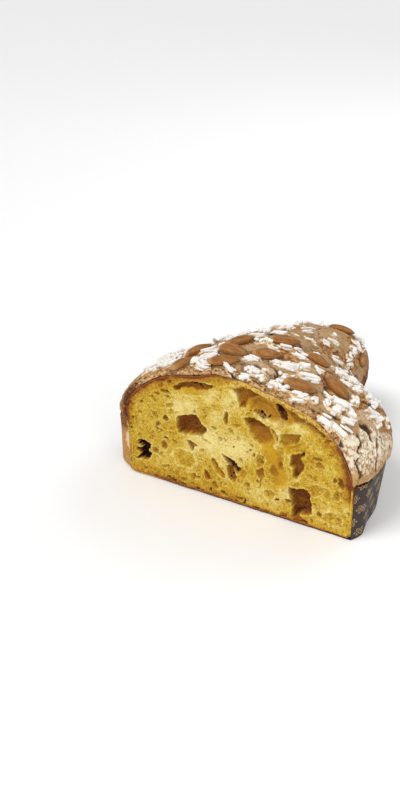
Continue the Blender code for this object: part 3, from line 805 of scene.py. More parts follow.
class ColombaSugarSettings(bpy.types.PropertyGroup):
    """The pearl sugar."""

    grain_size: length_property("Grain", "Width of one grain of pearl sugar", 3.6 * MM)
    rod_length: length_property("Rod length", "Length of one rod of sugar", 10 * MM)
    rod_width: length_property("Rod width", "Width of one rod of sugar", 2.6 * MM)
    heap_height: length_property("Heap height", "How high the grains lie in a heap", 2.2 * MM)
    more_rods: IntProperty(
        name="More rods", description="Rods on the side that the photograph hides", default=46, min=0)
    white: colour_property("Sugar", "Pearl sugar", "#EEEAE4")
    toasted: colour_property("Toasted sugar", "Sugar that caught the heat", "#E4D3B8")


class ColombaAlmondSettings(bpy.types.PropertyGroup):
    """The almonds in their skins."""

    length: length_property("Length", "Length of one almond", 25 * MM)
    width: length_property("Width", "Width of one almond", 13.5 * MM)
    thickness: length_property("Thickness", "Thickness of one almond", 8.5 * MM)
    skin: colour_property("Skin", "Almond skin", "#AE7129")
    furrow: colour_property("Furrows", "Wrinkles of the almond skin", "#613817")
    tip: colour_property("Blunt end", "Pale blunt end of an almond", "#C6955A")


class ColombaPaperSettings(bpy.types.PropertyGroup):
    """The paper case."""

    motif_spacing: length_property("Motif spacing", "Distance between printed motifs", 18 * MM)
    motif_size: length_property("Motif size", "Width of one printed motif", 8 * MM)
    paper: colour_property("Paper", "Dark baking paper", "#413430")
    print_colour: colour_property("Print", "Printed motifs", "#B8955F")


class ColombaStageSettings(bpy.types.PropertyGroup):
    """The floor and the light."""

    floor: colour_property("Floor", "Pale floor", "#F6F6F6")
    key_strength: FloatProperty(
        name="Key light", description="Strength of the main light", default=1.7, min=0)
    fill_power: FloatProperty(
        name="Fill light", description="Power of the fill light", default=5, min=0, unit="POWER")
    sky: FloatProperty(
        name="Sky", description="Strength of the even light from all round", default=0.5, min=0)


# The cut face

def pore_list(count):
    """The named pores, and small ones spread by a seeded draw, with their sizes in metres."""
    draw = np.random.default_rng(SEED)
    pores = [tuple(MM * v for v in row[:5]) + (math.radians(row[5]), row[6]) for row in PORES]
    for _ in range(count):
        x = draw.uniform(-1, 1) * CUT_HALF_WIDTH
        z = draw.uniform(0, 1) * CUT_HEIGHT
        radius = SMALL_PORE * (1 - draw.uniform(0, 0.99)) ** -0.38
        radius *= 1 - 0.25 * pale_share(x, z)
        stretch = draw.uniform(1.0, 2.0)
        turn = grain_angle(x, z) + draw.normal(0, 0.45)
        deep = radius * draw.uniform(0.25, 0.75)
        pores.append((x, z, radius * stretch ** 0.5, radius / stretch ** 0.5, deep, turn,
                      max(0.0, draw.normal(0.0, 0.16))))
    return pores


def area(name, x, z):
    """1 in a named area of the cut, 0 outside it."""
    across, up = AREAS[name]
    return rise(x, *across) * rise(z, *up)


def pale_share(x, z):
    """1 in the middle of the palest crumb, 0 far from it."""
    total = np.zeros(np.shape(x))
    for at_x, at_z, radius, strength in PALE_CRUMB:
        away = np.hypot(x - at_x * MM, z - at_z * MM) / (radius * MM)
        total = np.maximum(total, strength * np.exp(-away ** 2))
    return total


def grain_angle(x, z):
    """The way the pores are drawn out at a place on the cut: along the crust near it."""
    lean = np.arctan2(-(x - FAN_ACROSS) * FAN_SHARE, z + FAN_BELOW)
    core = area("core", abs(x - CORE_ACROSS), z)
    return lean * (1 - core) + CORE_TURN * core


def side_distance(x, z, start, run):
    """Distance of points from one straight side of an outline."""
    along = np.clip(((x - start[0]) * run[0] + (z - start[1]) * run[1]) / (run @ run), 0, 1)
    return np.hypot(x - start[0] - along * run[0], z - start[1] - along * run[1])


def depth_inside(x, z, outline):
    """Distance of points from an outline given in millimetres: above 0 inside it, below 0 outside."""
    corners = np.array(outline) * MM
    inside = np.zeros(x.shape, dtype=bool)
    nearest = np.full(x.shape, 1.0)
    for start, end in zip(corners, np.roll(corners, -1, axis=0)):
        run = end - start
        nearest = np.minimum(nearest, side_distance(x, z, start, run))
        if start[1] != end[1]:
            crossing = start[0] + (z - start[1]) * run[0] / run[1]
            inside ^= ((start[1] > z) != (end[1] > z)) & (x < crossing)
    return np.where(inside, nearest, -nearest)


def crumb_field(count):
    """Depth of the cut face on a grid, how brown it is (browned crumb, and painted shade in the pores and
    under the ledge), how hollow it is, and its raised rims.
    """
    xs = np.arange(-CUT_HALF_WIDTH, CUT_HALF_WIDTH, CUT_STEP)
    zs = np.arange(-1 * MM, CUT_HEIGHT, CUT_STEP)
    x, z = np.meshgrid(xs, zs, indexing="ij")
    plane = np.stack([x, np.zeros_like(x), z], axis=-1)
    warped_x = x + 0.9 * MM * fractal(plane, 4.5 * MM, 11) + 0.4 * MM * value_noise(plane, 1.6 * MM, 12)
    warped_z = z + 0.9 * MM * fractal(plane, 4.5 * MM, 21) + 0.4 * MM * value_noise(plane, 1.6 * MM, 22)
    turn = grain_angle(x, z)
    along = (x * np.cos(turn) + z * np.sin(turn)) / 5
    across = z * np.cos(turn) - x * np.sin(turn)
    fibre = value_noise(np.stack([along, across, np.zeros_like(x)], axis=-1), 1.3 * MM, 32)
    depth = 0.45 * MM + 0.3 * MM * fractal(plane, 5 * MM, 31) + 0.2 * MM * fibre
    hollow, rims, amber = [np.zeros_like(x) for _ in range(3)]
    rim_distance = edge_distance(x.ravel(), z.ravel()).reshape(x.shape)
    ledge_end = LEDGE_WIDTH * (0.72 + 0.28 * rise(x, *LEDGE_WIDENS))
    ledge_end = ledge_end * (1 + 0.35 * fractal(plane, 7 * MM, 33))
    ledge = area("ledge", x, z) * (1 - rise(rim_distance - ledge_end, 0, 1))
    groove = area("ledge", x, z) * hill(rim_distance - ledge_end, *GROOVE_BEYOND)
    groove *= rise(x, *GROOVE_STARTS) * smooth(0.85 + 0.9 * value_noise(plane, 12 * MM, 34))
    depth = depth + GROOVE_DEPTH * groove - 0.3 * MM * ledge
    # The brown along the groove is painted shadow under the golden ledge.
    brown = 0.78 * groove
    for deep, wall, tint, outline in HOLLOWS:
        inside = depth_inside(warped_x, warped_z, outline)
        share = rise(inside, -0.3, wall) * (1 - ledge)
        amber = np.maximum(amber, share * smooth((wall - 1.5) / 2))
        depth = np.maximum(depth, deep * MM * share * (1 + 0.12 * fibre))
        brown = np.maximum(brown, tint * smooth(share * 2.2))
        hollow = np.maximum(hollow, share)
        rims = np.maximum(rims, 0.9 * hill(inside, -1, 0.7) * min(1.0, deep / 5))
    torn = hollow.copy()
    for number, (at_x, at_z, half_width, half_height, deep, lean, tint) in enumerate(pore_list(count)):
        reach = max(half_width, half_height) * 1.3 + 2.5 * MM
        i0, i1 = np.searchsorted(xs, (at_x - reach, at_x + reach))
        j0, j1 = np.searchsorted(zs, (at_z - reach, at_z + reach))
        if i0 >= i1 or j0 >= j1:
            continue
        if len(PORES) <= number and torn[min(i0 + i1, 2 * len(xs) - 2) // 2, (j0 + j1) // 2] > 0.3:
            continue
        window = (slice(i0, i1), slice(j0, j1))
        right, up = warped_x[window] - at_x, warped_z[window] - at_z
        u = (right * math.cos(lean) + up * math.sin(lean)) / half_width
        v = (up * math.cos(lean) - right * math.sin(lean)) / half_height
        gauge = np.hypot(u, v)
        bowl = np.sqrt(np.clip(1 - gauge ** 2, 0, 1))
        size = min(1.0, math.sqrt(half_width * half_height) / (2.4 * MM))
        rim = np.exp(-((gauge - 1.15) / 0.13) ** 2) * size
        depth[window] += deep * bowl - 0.3 * MM * rim
        hollow[window] = np.maximum(hollow[window], bowl * (0.35 + 0.45 * size))
        rims[window] = np.maximum(rims[window], rim)
        brown[window] = np.maximum(brown[window], tint * smooth(bowl * 1.6))
    fields = {"brown": brown, "hollow": hollow, "rim": rims, "fibre": fibre, "ledge": ledge, "amber": amber}
    return xs, zs, np.maximum(depth, 0.05 * MM), fields


def sample(xs, zs, field, x, z):
    """Values of a field between its grid points."""
    i = np.clip((x - xs[0]) / CUT_STEP, 0, len(xs) - 1.001)
    j = np.clip((z - zs[0]) / CUT_STEP, 0, len(zs) - 1.001)
    i0, j0 = i.astype(int), j.astype(int)
    a, b = i - i0, j - j0
    return ((field[i0, j0] * (1 - a) + field[i0 + 1, j0] * a) * (1 - b)
            + (field[i0, j0 + 1] * (1 - a) + field[i0 + 1, j0 + 1] * a) * b)


def bread_rows(columns, dome_rows, inset):
    """Rows of points over the bare bread, from its floor up to its spine, set in by a distance."""
    line = widest_line(columns)
    rows, normals = envelope(line, 0, dome_rows)
    overhang = CRUST_OVERHANG * swell(line)
    flare = PAPER_FLARE * swell(line)
    wall = PAPER_THICKNESS + GAP
    bulge = BARE_BULGE * smooth(line[:, 1] / BARE_DEPTH)
    side = overhang + wall - (wall + bulge) * bare(line) + inset
    low = PAPER_THICKNESS + GAP + inset
    rings = []
    for share in np.linspace(0, 1, 4):
        angle = share * math.pi / 2
        inwards = side + flare + BASE_ROUNDING * (1 - math.sin(angle))
        rings.append(ring(line, inwards, low + BASE_ROUNDING * (1 - math.cos(angle))))
    for height in np.linspace(low + BASE_ROUNDING, PAPER_HEIGHT - 2 * MM, 12)[1:]:
        share = (height - low) / (PAPER_HEIGHT - low)
        rings.append(ring(line, side + flare * (1 - share), height))
    crust = set_in(rows, normals, GLAZE_THICKNESS + GAP + inset)
    return np.concatenate([np.array(rings), crust])


def cut_rim(count, columns):
    """Numbers of the points of rows along the cut, up its right side and down its left one."""
    left_side = [row * columns - 1 for row in range(count - 1, 0, -1)]
    return [row * columns for row in range(count)] + left_side


def make_core(inset):
    """The closed form that the crumb is cut from: the bread without its crust."""
    rows = bread_rows(CORE_COLUMNS, CORE_ROWS, inset)
    count, columns = rows.shape[:2]
    faces = strips(count, columns) + [list(range(columns)), cut_rim(count, columns)]
    rows[:, [0, -1], 1] = -CORE_PAST_CUT
    return build("core", rows, faces)


def make_slab(xs, zs, depth):
    """A closed block whose front follows the cut face."""
    x, z = np.meshgrid(xs, zs, indexing="ij")
    front = np.stack([x, depth, z], axis=-1).reshape(-1, 3)
    columns = len(zs)
    faces = strips(len(xs), columns)
    right, top = len(xs) - 1, columns - 1
    back = [(xs[0], CUT_BACK, zs[0]), (xs[-1], CUT_BACK, zs[0]), (xs[-1], CUT_BACK, zs[-1]),
            (xs[0], CUT_BACK, zs[-1])]
    a, b, c, d = [len(front) + k for k in range(4)]
    low_edge = [i * columns for i in range(right + 1)]
    high_edge = [i * columns + top for i in range(right + 1)]
    left_edge = list(range(columns))
    right_edge = [right * columns + j for j in range(columns)]
    faces += [low_edge + [b, a], high_edge + [c, d], left_edge + [d, a], right_edge + [c, b], [a, b, c, d]]
    return build("crumb", np.concatenate([front, back]), faces)


def edge_distance(x, z):
    """Distance of points on the cut from the outline of the bread."""
    rows = bread_rows(CORE_COLUMNS, EDGE_ROWS, 0)
    outline = np.concatenate([rows[:, 0], rows[::-1, -1]])[:, [0, 2]]
    outline = np.concatenate([outline, outline[:1]])
    best = np.full(len(x), 1.0)
    for start, end in zip(outline[:-1], outline[1:]):
        run = end - start
        if run @ run > 1e-12:
            best = np.minimum(best, side_distance(x, z, start, run))
    return best


class COLOMBA_OT_crumb(bpy.types.Operator):
    """Makes the yellow crumb with the pores of the cut face."""

    bl_idname = "colomba.crumb"
    bl_label = "Crumb"

    def execute(self, context):
        """Cuts the crumb out of the loaf's core with a block that has the relief of the cut."""
        settings = context.scene.colomba_crumb
        xs, zs, depth, fields = crumb_field(settings.pore_count)
        core = make_core(settings.crust_thickness - 0.6 * MM)
        slab = make_slab(xs, zs, depth)
        modifier = slab.modifiers.new("cut", "BOOLEAN")
        modifier.operation = "INTERSECT"
        modifier.solver = "EXACT"
        modifier.object = core
        piece = applied(slab, "crumb")
        bpy.data.objects.remove(core)
        points = mesh_points(piece.data)
        x, z = points[:, 0], points[:, 2]
        for key, field in fields.items():
            write_values(piece.data, key, sample(xs, zs, field, x, z))
        write_values(piece.data, "deep", points[:, 1] / (10 * MM))
        write_values(piece.data, "pale", pale_share(x, z))
        for key, numbers in zip(("baked", "edge"), baked_share(points)):
            write_values(piece.data, key, numbers)
        piece.data.shade_smooth()
        piece.data.materials.clear()
        piece.data.materials.append(crumb_finish(settings))
        settle(piece, ["bread"])
        return {"FINISHED"}


def baked_share(points):
    """How browned the crumb is, from 1 against the crust: over a few millimetres, and over fifteen."""
    x, z = points[:, 0], points[:, 2]
    right_low = hill(x, *RIGHT_LOW_ACROSS) * hill(z, *RIGHT_LOW_UP)
    right_foot, left_top, ledge, left_foot = [
        area(name, x, z) for name in ("right foot", "left top", "ledge", "left foot")]
    width = (BAKED_WIDTH + BAKED_RIGHT_LOW * right_low + BAKED_LEFT_TOP * left_top + BAKED_LEDGE * ledge
             + BAKED_RIGHT_FOOT * right_foot)
    ragged = 1.3 * MM * fractal(points * (1, 0, 1), 5 * MM, 36)
    away = edge_distance(x, z)
    near = (1 - smooth((away + ragged - 0.6 * MM) / width)) * (1 - left_foot) * (1 - right_foot)
    wide = (1 - smooth((away + 3 * ragged) / BAKED_WIDE)) * (1 - ledge) * (1 - right_foot)
    return near, wide * (1 - 0.6 * left_foot)


def applied(body, name):
    """The object with its modifiers made part of its mesh."""
    bpy.context.view_layer.update()
    graph = bpy.context.evaluated_depsgraph_get()
    mesh = bpy.data.meshes.new_from_object(body.evaluated_get(graph))
    mesh.name = name
    bpy.data.objects.remove(body)
    return new_object(name, mesh)


def crumb_finish(settings):
    """Yellow crumb: pale on the rims, golden between, brown near the crust, and painted shade in ochre,
    brown and dark inside the pores and hollows.
    """
    m = new_maker()
    place = m.place()
    brown, hollow, rim, fibre, ledge = m.values("brown hollow rim fibre ledge")
    deep, pale, baked, edge, amber = m.values("deep pale baked edge amber")
    broad = m.grain(place, 24 * MM, 2)
    patch = m.grain(place, 4 * MM, 3)
    fine = m.grain(place, 1.1 * MM, 3, 0.7)
    dots = m.step(m.cells(place, 2.1 * MM), 0.36, 0.18)
    # Hollow, deep and the small dots darken the tone towards ochre: painted shade in the pores and pits.
    tone = (hollow * 0.14 + deep * 0.28 + (broad - 0.5) * 0.5 + (patch - 0.5) * 0.5 + dots * 0.14
            + edge * 0.2 + (fine - 0.5) * 1.0 - pale * (patch + 0.1) * 0.85 - rim * 0.22
            - fibre * 0.07 + 0.52)
    colour = m.ramp(m.math("ADD", tone, 0.0, clamp=True),
                    [(0.0, settings.pale), (0.22, blend(settings.pale, settings.golden, 0.4)),
                     (0.5, settings.golden), (0.78, settings.ochre),
                     (1.0, blend(settings.ochre, settings.brown, 0.4))])
    # In the wide hollows the crumb goes from amber to ochre the deeper it lies: painted shade.
    smoother = m.mix(m.step(broad + (fine - 0.5) * 0.4 + deep * 0.5, 0.50, 0.95), settings.amber,
                     settings.ochre)
    colour = m.mix(amber * 0.8, colour, smoother)
    # The stain is browned crumb, plus painted shade in the pores and under the ledge.
    stain_and_shade = m.math("MULTIPLY", brown, (fine - 0.5) * 1.2 + 0.95, clamp=True)
    colour = m.mix(stain_and_shade, colour, m.mix(m.step(patch, 0.4, 0.62), settings.brown, settings.crust))
    # The deepest shade paints the darkest holes and the ledge's groove near black: painted shade.
    deepest_shade = m.step(brown * (patch + 0.5), 0.80, 1.05)
    colour = m.mix(deepest_shade, colour, settings.dark)
    browned = m.mix(m.step(patch - baked * 0.15, 0.36, 0.54), settings.crust, settings.ochre)
    colour = m.mix(baked * 0.9, colour, browned)
    colour = m.mix(m.step(baked + (fine - 0.5) * 0.5, 0.60, 0.95) * 0.85, colour, settings.brown)
    gold = m.mix(m.step(fine, 0.40, 0.62), settings.amber, blend(settings.ledge, settings.pale, 0.4))
    gold = m.mix(m.step(m.grain(place, 2.5 * MM, 3), 0.50, 0.60) * 0.8, gold, settings.crust)
    gold = m.mix(m.step(m.grain(place, 1.7 * MM, 2), 0.60, 0.68), gold, settings.bloom)
    colour = m.mix(ledge * 0.95, colour, gold)
    relief = fine + m.grain(place, 2 * MM, 2) * 0.8 - dots * 0.5
    return surface("yellow crumb", colour, 0.85, m.bump(relief, 0.8, 0.7 * MM), Specular_IOR_Level=0.2)


def blend(first, second, share):
    """A colour between two settings."""
    return tuple(a * (1 - share) + b * share for a, b in zip(first, second))


# The crust

class COLOMBA_OT_crust(bpy.types.Operator):
    """Makes the thin baked crust that wraps the crumb."""

    bl_idname = "colomba.crust"
    bl_label = "Crust"

    def execute(self, context):
        """A closed shell whose rim shows round the cut."""
        settings = context.scene.colomba_crumb
        outer = bread_rows(CRUST_COLUMNS, CRUST_ROWS, 0)
        inner = bread_rows(CRUST_COLUMNS, CRUST_ROWS, settings.crust_thickness)
        count, columns = outer.shape[:2]
        steps = CRUST_BASE_STEPS + 1
        bases = [np.linspace(rows[0, -1], rows[0, 0], steps)[1:-1] for rows in (outer, inner)]
        points = np.concatenate([outer.reshape(-1, 3), bases[0]])
        inner_points = np.concatenate([inner.reshape(-1, 3), bases[1]])
        size = len(points)
        base_ids = list(range(count * columns, size))
        loop = np.array(cut_rim(count, columns) + base_ids)
        faces = strips(count, columns) + [list(range(columns)) + base_ids]
        faces += [[index + size for index in face] for face in faces]
        bands = [loop]
        extra = []
        for band in range(1, CRUST_RIM_ROWS):
            share = band / CRUST_RIM_ROWS
            extra.append(points[loop] * (1 - share) + inner_points[loop] * share)
            bands.append(np.arange(len(loop)) + 2 * size + (band - 1) * len(loop))
        bands.append(loop + size)
        for first, second in zip(bands[:-1], bands[1:]):
            ring_faces = [first, np.roll(first, -1), np.roll(second, -1), second]
            faces += np.stack(ring_faces, axis=1).tolist()
        everything = np.concatenate([points, inner_points] + extra)
        rough = fractal(everything, 6 * MM, 41)
        front = 1 - rise(everything[:, 1], 0, 6)
        skin = [np.ones(size), np.zeros(size)]
        skin += [np.full(len(loop), 1 - band / CRUST_RIM_ROWS) for band in range(1, CRUST_RIM_ROWS)]
        skin = np.concatenate(skin)
        everything[:, 1] += np.where(everything[:, 1] < 1e-9, 0.35 * MM * (rough + 0.6) * front, 0)
        x, z = everything[:, 0], everything[:, 2]
        wall = area("bare wall", x, z)
        side = area("both feet", abs(x), z)
        bloom = hill(z, *BLOOM_UP) * hill(everything[:, 1], *BLOOM_BEHIND)
        open_rim = np.where(x > 0, 1.0, smooth((1 - skin) * 1.7))
        values = {"skin": skin, "gold": area("ledge", x, z) * front, "wall": wall, "bloom": bloom * wall,
                  "crumbly": side * front * rise(z, 3, 3) * open_rim}
        piece = build("crust", everything, faces, crust_finish(settings), values)
        settle(piece, ["bread"])
        return {"FINISHED"}


def crust_finish(settings):
    """Brown crust: dark outside, and golden along the top right where its inside shows."""
    m = new_maker()
    place = m.place()
    skin, gold, wall, bloom, crumbly = m.values("skin gold wall bloom crumbly")
    broad = m.grain(place, 12 * MM, 3)
    fine = m.grain(place, 1.8 * MM, 4, 0.65)
    tone = m.math("ADD", skin * (gold * 0.4 + 0.50) - gold * 0.75 - wall * skin * 0.35,
                  (broad - 0.5) * 0.7 + (fine - 0.5) * 1.1 + 0.5, clamp=True)
    colour = m.ramp(tone, [(0.0, settings.ledge), (0.3, settings.ochre), (0.6, settings.crust),
                           (1.0, settings.dark)])
    flecks = m.step(m.grain(place, 1.5 * MM, 3, 0.7), 0.50, 0.60) * gold
    colour = m.mix(flecks * 0.8, colour, blend(settings.ledge, settings.pale, 0.6))
    height = m.parts(place)[2]
    high = m.step(height + (broad - 0.5) * (22 * MM), 33 * MM, 42 * MM)
    grit = m.grain(place, 1.3 * MM, 3, 0.7)
    bare = m.mix(m.step(fine, 0.38, 0.60), blend(settings.wall, settings.crust, 0.6), settings.wall)
    stained = m.mix(m.step(fine, 0.40, 0.60), settings.dark, settings.crust)
    bare = m.mix(high * 0.95, bare, stained)
    bare = m.mix(m.step(grit, 0.53, 0.64) * (0.4 - high * 0.3), bare, settings.bloom)
    bare = m.mix(m.step(grit + high * 0.10, 0.44, 0.36) * 0.7, bare, settings.crust)
    bare = m.mix(m.step(bloom + (fine - 0.5) * 0.7, 0.42, 0.56), bare, settings.bloom)
    colour = m.mix(wall * m.step(skin, 0.10, 0.40), colour, bare)
    crumb = m.ramp(m.math("ADD", (fine - 0.5) * 1.4, broad, clamp=True),
                   [(0.1, blend(settings.pale, settings.golden, 0.5)), (0.45, settings.golden),
                    (0.85, settings.ochre)])
    colour = m.mix(crumbly, colour, crumb)
    return surface("baked crust", colour, 0.8, m.bump(fine, 0.7, 0.8 * MM), Specular_IOR_Level=0.25)


# The glaze

# Open cracks of the glaze by close-up: their width in millimetres, then points that they run through.
CRACKS = {
    "flakes": (
        (3.6, ((640, 690), (670, 710), (710, 750), (750, 800), (770, 830))),
        (2.2, ((605, 800), (640, 870), (610, 960), (630, 1000), (590, 1080), (620, 1180), (625, 1240))),
        (2.6, ((800, 830), (812, 900), (810, 960), (815, 1010), (800, 1100), (795, 1150))),
        (1.6, ((850, 830), (880, 900), (890, 950))),
        (1.6, ((935, 900), (945, 960), (940, 1020))),
        (3.0, ((240, 270), (265, 285))),
        (2.6, ((440, 860), (440, 890), (455, 900))),
        (2.4, ((490, 690), (530, 740))),
        (2.2, ((700, 460), (770, 500), (850, 530))),
    ),
    "right": (
        (1.8, ((430, 130), (480, 160), (520, 220), (560, 270), (640, 310))),
        (2.2, ((980, 350), (1030, 390), (1100, 400), (1190, 440))),
        (2.2, ((850, 320), (900, 345), (940, 350))),
        (1.4, ((240, 460), (330, 510), (400, 540))),
        (1.8, ((450, 490), (500, 560), (600, 590), (700, 640))),
        (1.8, ((730, 700), (800, 740), (850, 800))),
        (1.6, ((1300, 490), (1340, 540), (1360, 600))),
    ),
    "crown": (
        (1.5, ((960, 860), (1020, 885), (1120, 880), (1220, 850), (1290, 800))),
        (2.4, ((1190, 680), (1240, 700), (1280, 760), (1300, 790))),
        (1.3, ((470, 695), (560, 690), (640, 700), (730, 660), (800, 640))),
        (1.4, ((880, 470), (930, 490))),
        (1.6, ((690, 770), (720, 820), (760, 850))),
    ),
    "tail": (
        (1.6, ((490, 190), (540, 165), (610, 165), (660, 190))),
        (0.9, ((500, 230), (530, 280), (545, 300))),
        (0.9, ((300, 255), (400, 250), (480, 250))),
        (1.1, ((330, 435), (420, 440), (510, 440))),
        (1.2, ((760, 360), (790, 400), (780, 430))),
        (1.2, ((690, 480), (770, 490), (760, 520))),
        (1.2, ((870, 350), (920, 380), (990, 440), (1050, 520), (1120, 600))),
        (2.0, ((960, 800), (1000, 820), (1020, 840))),
        (1.4, ((600, 750), (650, 745))),
        (2.0, ((600, 790), (580, 840), (590, 870))),
    ),
}

# Blistered plates of the glaze: right of the middle, behind the cut, half length, half width and rise
# in millimetres, and heading in degrees.
PLATES = (
    (17, 18, 14, 10, 2.2, -8), (103, 37, 10, 8, 1.6, 40), (27, 88, 17, 8, 0.9, 50),
    (10, 104, 16, 8, 0.9, 60), (70, 20, 9, 5, 1.0, 0), (40, 138, 12, 7, 0.9, 60), (-2, 4, 9, 4, 1.2, 10),
    (62, 60, 8, 6, 1.0, 40),
)


def surface_tree(mesh):
    """A search tree for the surface of a mesh."""
    return BVHTree.FromPolygons([v.co for v in mesh.vertices], [tuple(p.vertices) for p in mesh.polygons])


PACKED_GLAZE = surface_tree(frame["nodes"]["glaze"].data)


def look(at, target):
    """The turn of a camera or a light at one point that looks at another."""
    return (Vector(target) - Vector(at)).to_track_quat("-Z", "Y").to_euler()


def seen(close_up, right, down):
    """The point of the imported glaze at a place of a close-up, and its distance from the camera."""
    left, top, zoom = CLOSE_UPS[close_up]
    across = left + right / zoom - PHOTO_WIDTH / 2
    up = PHOTO_HEIGHT / 2 - top - down / zoom
    ray = Vector((across, up, -PHOTO_FOCUS))
    ray.rotate(look(CAMERA_AT, CAMERA_LOOKS_AT))
    point, _, _, away = PACKED_GLAZE.ray_cast(Vector(CAMERA_AT), ray.normalized())
    return point, away


def from_cut(point):
    """A point of the frame as right of the middle, depth behind the cut and height."""
    return np.array(point) - (0, CUT_Y, 0)


def frame_on(x, depth, heading, tree=PACKED_GLAZE):
    """A frame that stands on a surface at a place from above, its own X along the heading in degrees."""
    point, normal, _, _ = tree.ray_cast(Vector((x * MM, depth * MM + CUT_Y, 1)), Vector((0, 0, -1)))
    if point is None:
        point, normal, _, _ = tree.find_nearest(Vector((x * MM, depth * MM + CUT_Y, GLAZE_EDGE_HEIGHT)))
    along = Vector((math.cos(math.radians(heading)), math.sin(math.radians(heading)), 0))
    side = normal.cross(along).normalized()
    turned = Matrix((side.cross(normal), side, normal)).transposed().to_4x4()
    return Matrix.Translation(point) @ turned


def almond_places():
    """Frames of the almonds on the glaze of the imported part, and their sizes."""
    return [(frame_on(*spot), size) for *spot, size in ALMOND_SPOTS]


def oval_gauge(points, place, half_length, half_width):
    """1 on the outline of an oval that lies in a frame, less inside it, more outside it."""
    back = np.array(place.inverted())
    local = (points + (0, CUT_Y, 0)) @ back[:3, :3].T + back[:3, 3]
    across = np.hypot(local[..., 0] / half_length, local[..., 1] / half_width)
    return np.where(np.abs(local[..., 2]) < 14 * MM, across, 9.0)


def almond_gauge(points, settings):
    """1 on the outline of the nearest almond at points near the glaze, less inside, more outside."""
    ovals = [oval_gauge(points, place, settings.length * size / 2, settings.width * size / 2)
             for place, size in almond_places()]
    return np.minimum.reduce(ovals)


def line_distance(points, lines):
    """Distance of points from the nearest of several lines, less half the width of each line."""
    best = np.full(points.shape[:-1], 1.0)
    for width, line in lines:
        for start, end in zip(line[:-1], line[1:]):
            run = end - start
            along = np.clip((points - start) @ run / max(run @ run, 1e-12), 0, 1)
            away = np.linalg.norm(points - start - along[..., None] * run, axis=-1) - width / 2
            best = np.minimum(best, away)
    return best


def traced_rods():
    """The rods of the close-ups: right of the middle, behind the cut, heading, length and width."""
    rods = []
    for close_up, traces in RODS.items():
        for *ends, thick in traces:
            middle, away = seen(close_up, (ends[0] + ends[2]) / 2, (ends[1] + ends[3]) / 2)
            first, last = [seen(close_up, *end)[0] for end in (ends[:2], ends[2:])]
            if not first or (first - middle).length > ROD_REACH:
                first = 2 * middle - last
            if not last or (last - middle).length > ROD_REACH:
                last = 2 * middle - first
            run = last - first
            width = thick / CLOSE_UPS[close_up][2] * away / PHOTO_FOCUS / MM
            rods.append((middle.x / MM, (middle.y - CUT_Y) / MM,
                         math.degrees(math.atan2(run.y, run.x)) % 180,
                         min(run.length / MM, LONGEST_ROD), float(np.clip(width, *ROD_WIDTHS))))
    return rods


def sugar_lines():
    """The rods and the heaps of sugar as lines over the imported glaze, each with its width."""
    rods = []
    for *spot, length, width in traced_rods():
        ends = [frame_on(*spot) @ Vector((side * length * MM / 2, 0, 0)) for side in (-1, 1)]
        rods.append((width * MM, [from_cut(end) for end in ends]))
    middles = [(frame_on(*spot, 0).translation, radius) for *spot, radius in HIDDEN_HEAPS]
    for close_up, traces in GRAIN_HEAPS.items():
        middles += [(seen(close_up, *place)[0], radius) for *place, radius in traces]
    return rods, [(2 * radius * MM, [from_cut(middle)] * 2) for middle, radius in middles]


def traced_cracks():
    """The cracks of the close-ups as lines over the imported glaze, each with its width."""
    cracks = []
    for close_up, traces in CRACKS.items():
        for width, line in traces:
            points = [seen(close_up, *place)[0] for place in line]
            cracks.append((width * MM, [from_cut(point) for point in points if point]))
    return cracks


def flour_share(points):
    """1 on the pale cracked side of the right wing, 0 elsewhere."""
    ragged = 3 * MM * fractal(points, 8 * MM, 52)
    side = rise(points[..., 0] + ragged, *FLOUR_ACROSS)
    top = FLOUR_TOP - FLOUR_FALL * np.maximum(points[..., 1] - FLOUR_FALL_FROM, 0)
    low = 1 - rise(points[..., 2] + ragged - top, 0, 3)
    near = 1 - rise(points[..., 1], *FLOUR_BEHIND)
    return side * low * near


class COLOMBA_OT_glaze(bpy.types.Operator):
    """Makes the thin matt glaze with its plates, pits, cracks and rims."""

    bl_idname = "colomba.glaze"
    bl_label = "Glaze"

    def execute(self, context):
        """A closed shell over the crust, fine outside and coarse inside."""
        settings = context.scene.colomba_glaze
        line = widest_line(GLAZE_COLUMNS)
        rows, normals = envelope(line, GLAZE_EDGE_ROWS, GLAZE_ROWS - GLAZE_EDGE_ROWS)
        inner = set_in(rows, normals, GLAZE_THICKNESS)[::GLAZE_COARSER, ::GLAZE_COARSER]
        values = glaze_values(rows, context.scene.colomba_almonds)
        rough = value_noise(rows, 2.4 * MM, 62)
        height = (0.5 * MM * fractal(rows, 9 * MM, 61) + MM * values["plate"]
                  + (0.20 + 0.25 * values["ragged"]) * MM * rough
                  + 0.7 * MM * values["rim"] + 0.5 * MM * values["sugar"]
                  - settings.pit_depth * values["pit"] - settings.crack_depth * values["crack"])
        rows = rows + normals * height[:, :, None]
        rows[:, [0, -1], 1] = 0
        rows[0, :, 2] += 0.8 * MM * fractal(rows[0], 6 * MM, 63)
        count, columns = rows.shape[:2]
        inner_count, inner_columns = inner.shape[:2]
        size = count * columns
        faces = strips(count, columns) + strips(inner_count, inner_columns, size)
        faces += joins(list(range(columns)), [size + k for k in range(inner_columns)])
        for column, inner_column in ((0, 0), (columns - 1, inner_columns - 1)):
            faces += joins([row * columns + column for row in range(count)],
                           [size + row * inner_columns + inner_column for row in range(inner_count)])
        hidden = np.zeros(inner_count * inner_columns)
        behind = {key: values[key][::GLAZE_COARSER, ::GLAZE_COARSER].ravel()
                  for key in ("front", "scorched", "flour")}
        behind["ragged"] = hidden + 1
        values = {key: np.concatenate([numbers.ravel(), behind.get(key, hidden)])
                  for key, numbers in values.items()}
        piece = build("baked_glaze", np.concatenate([rows.reshape(-1, 3), inner.reshape(-1, 3)]), faces,
                      glaze_finish(settings), values)
        settle(piece, ["glaze"])
        return {"FINISHED"}


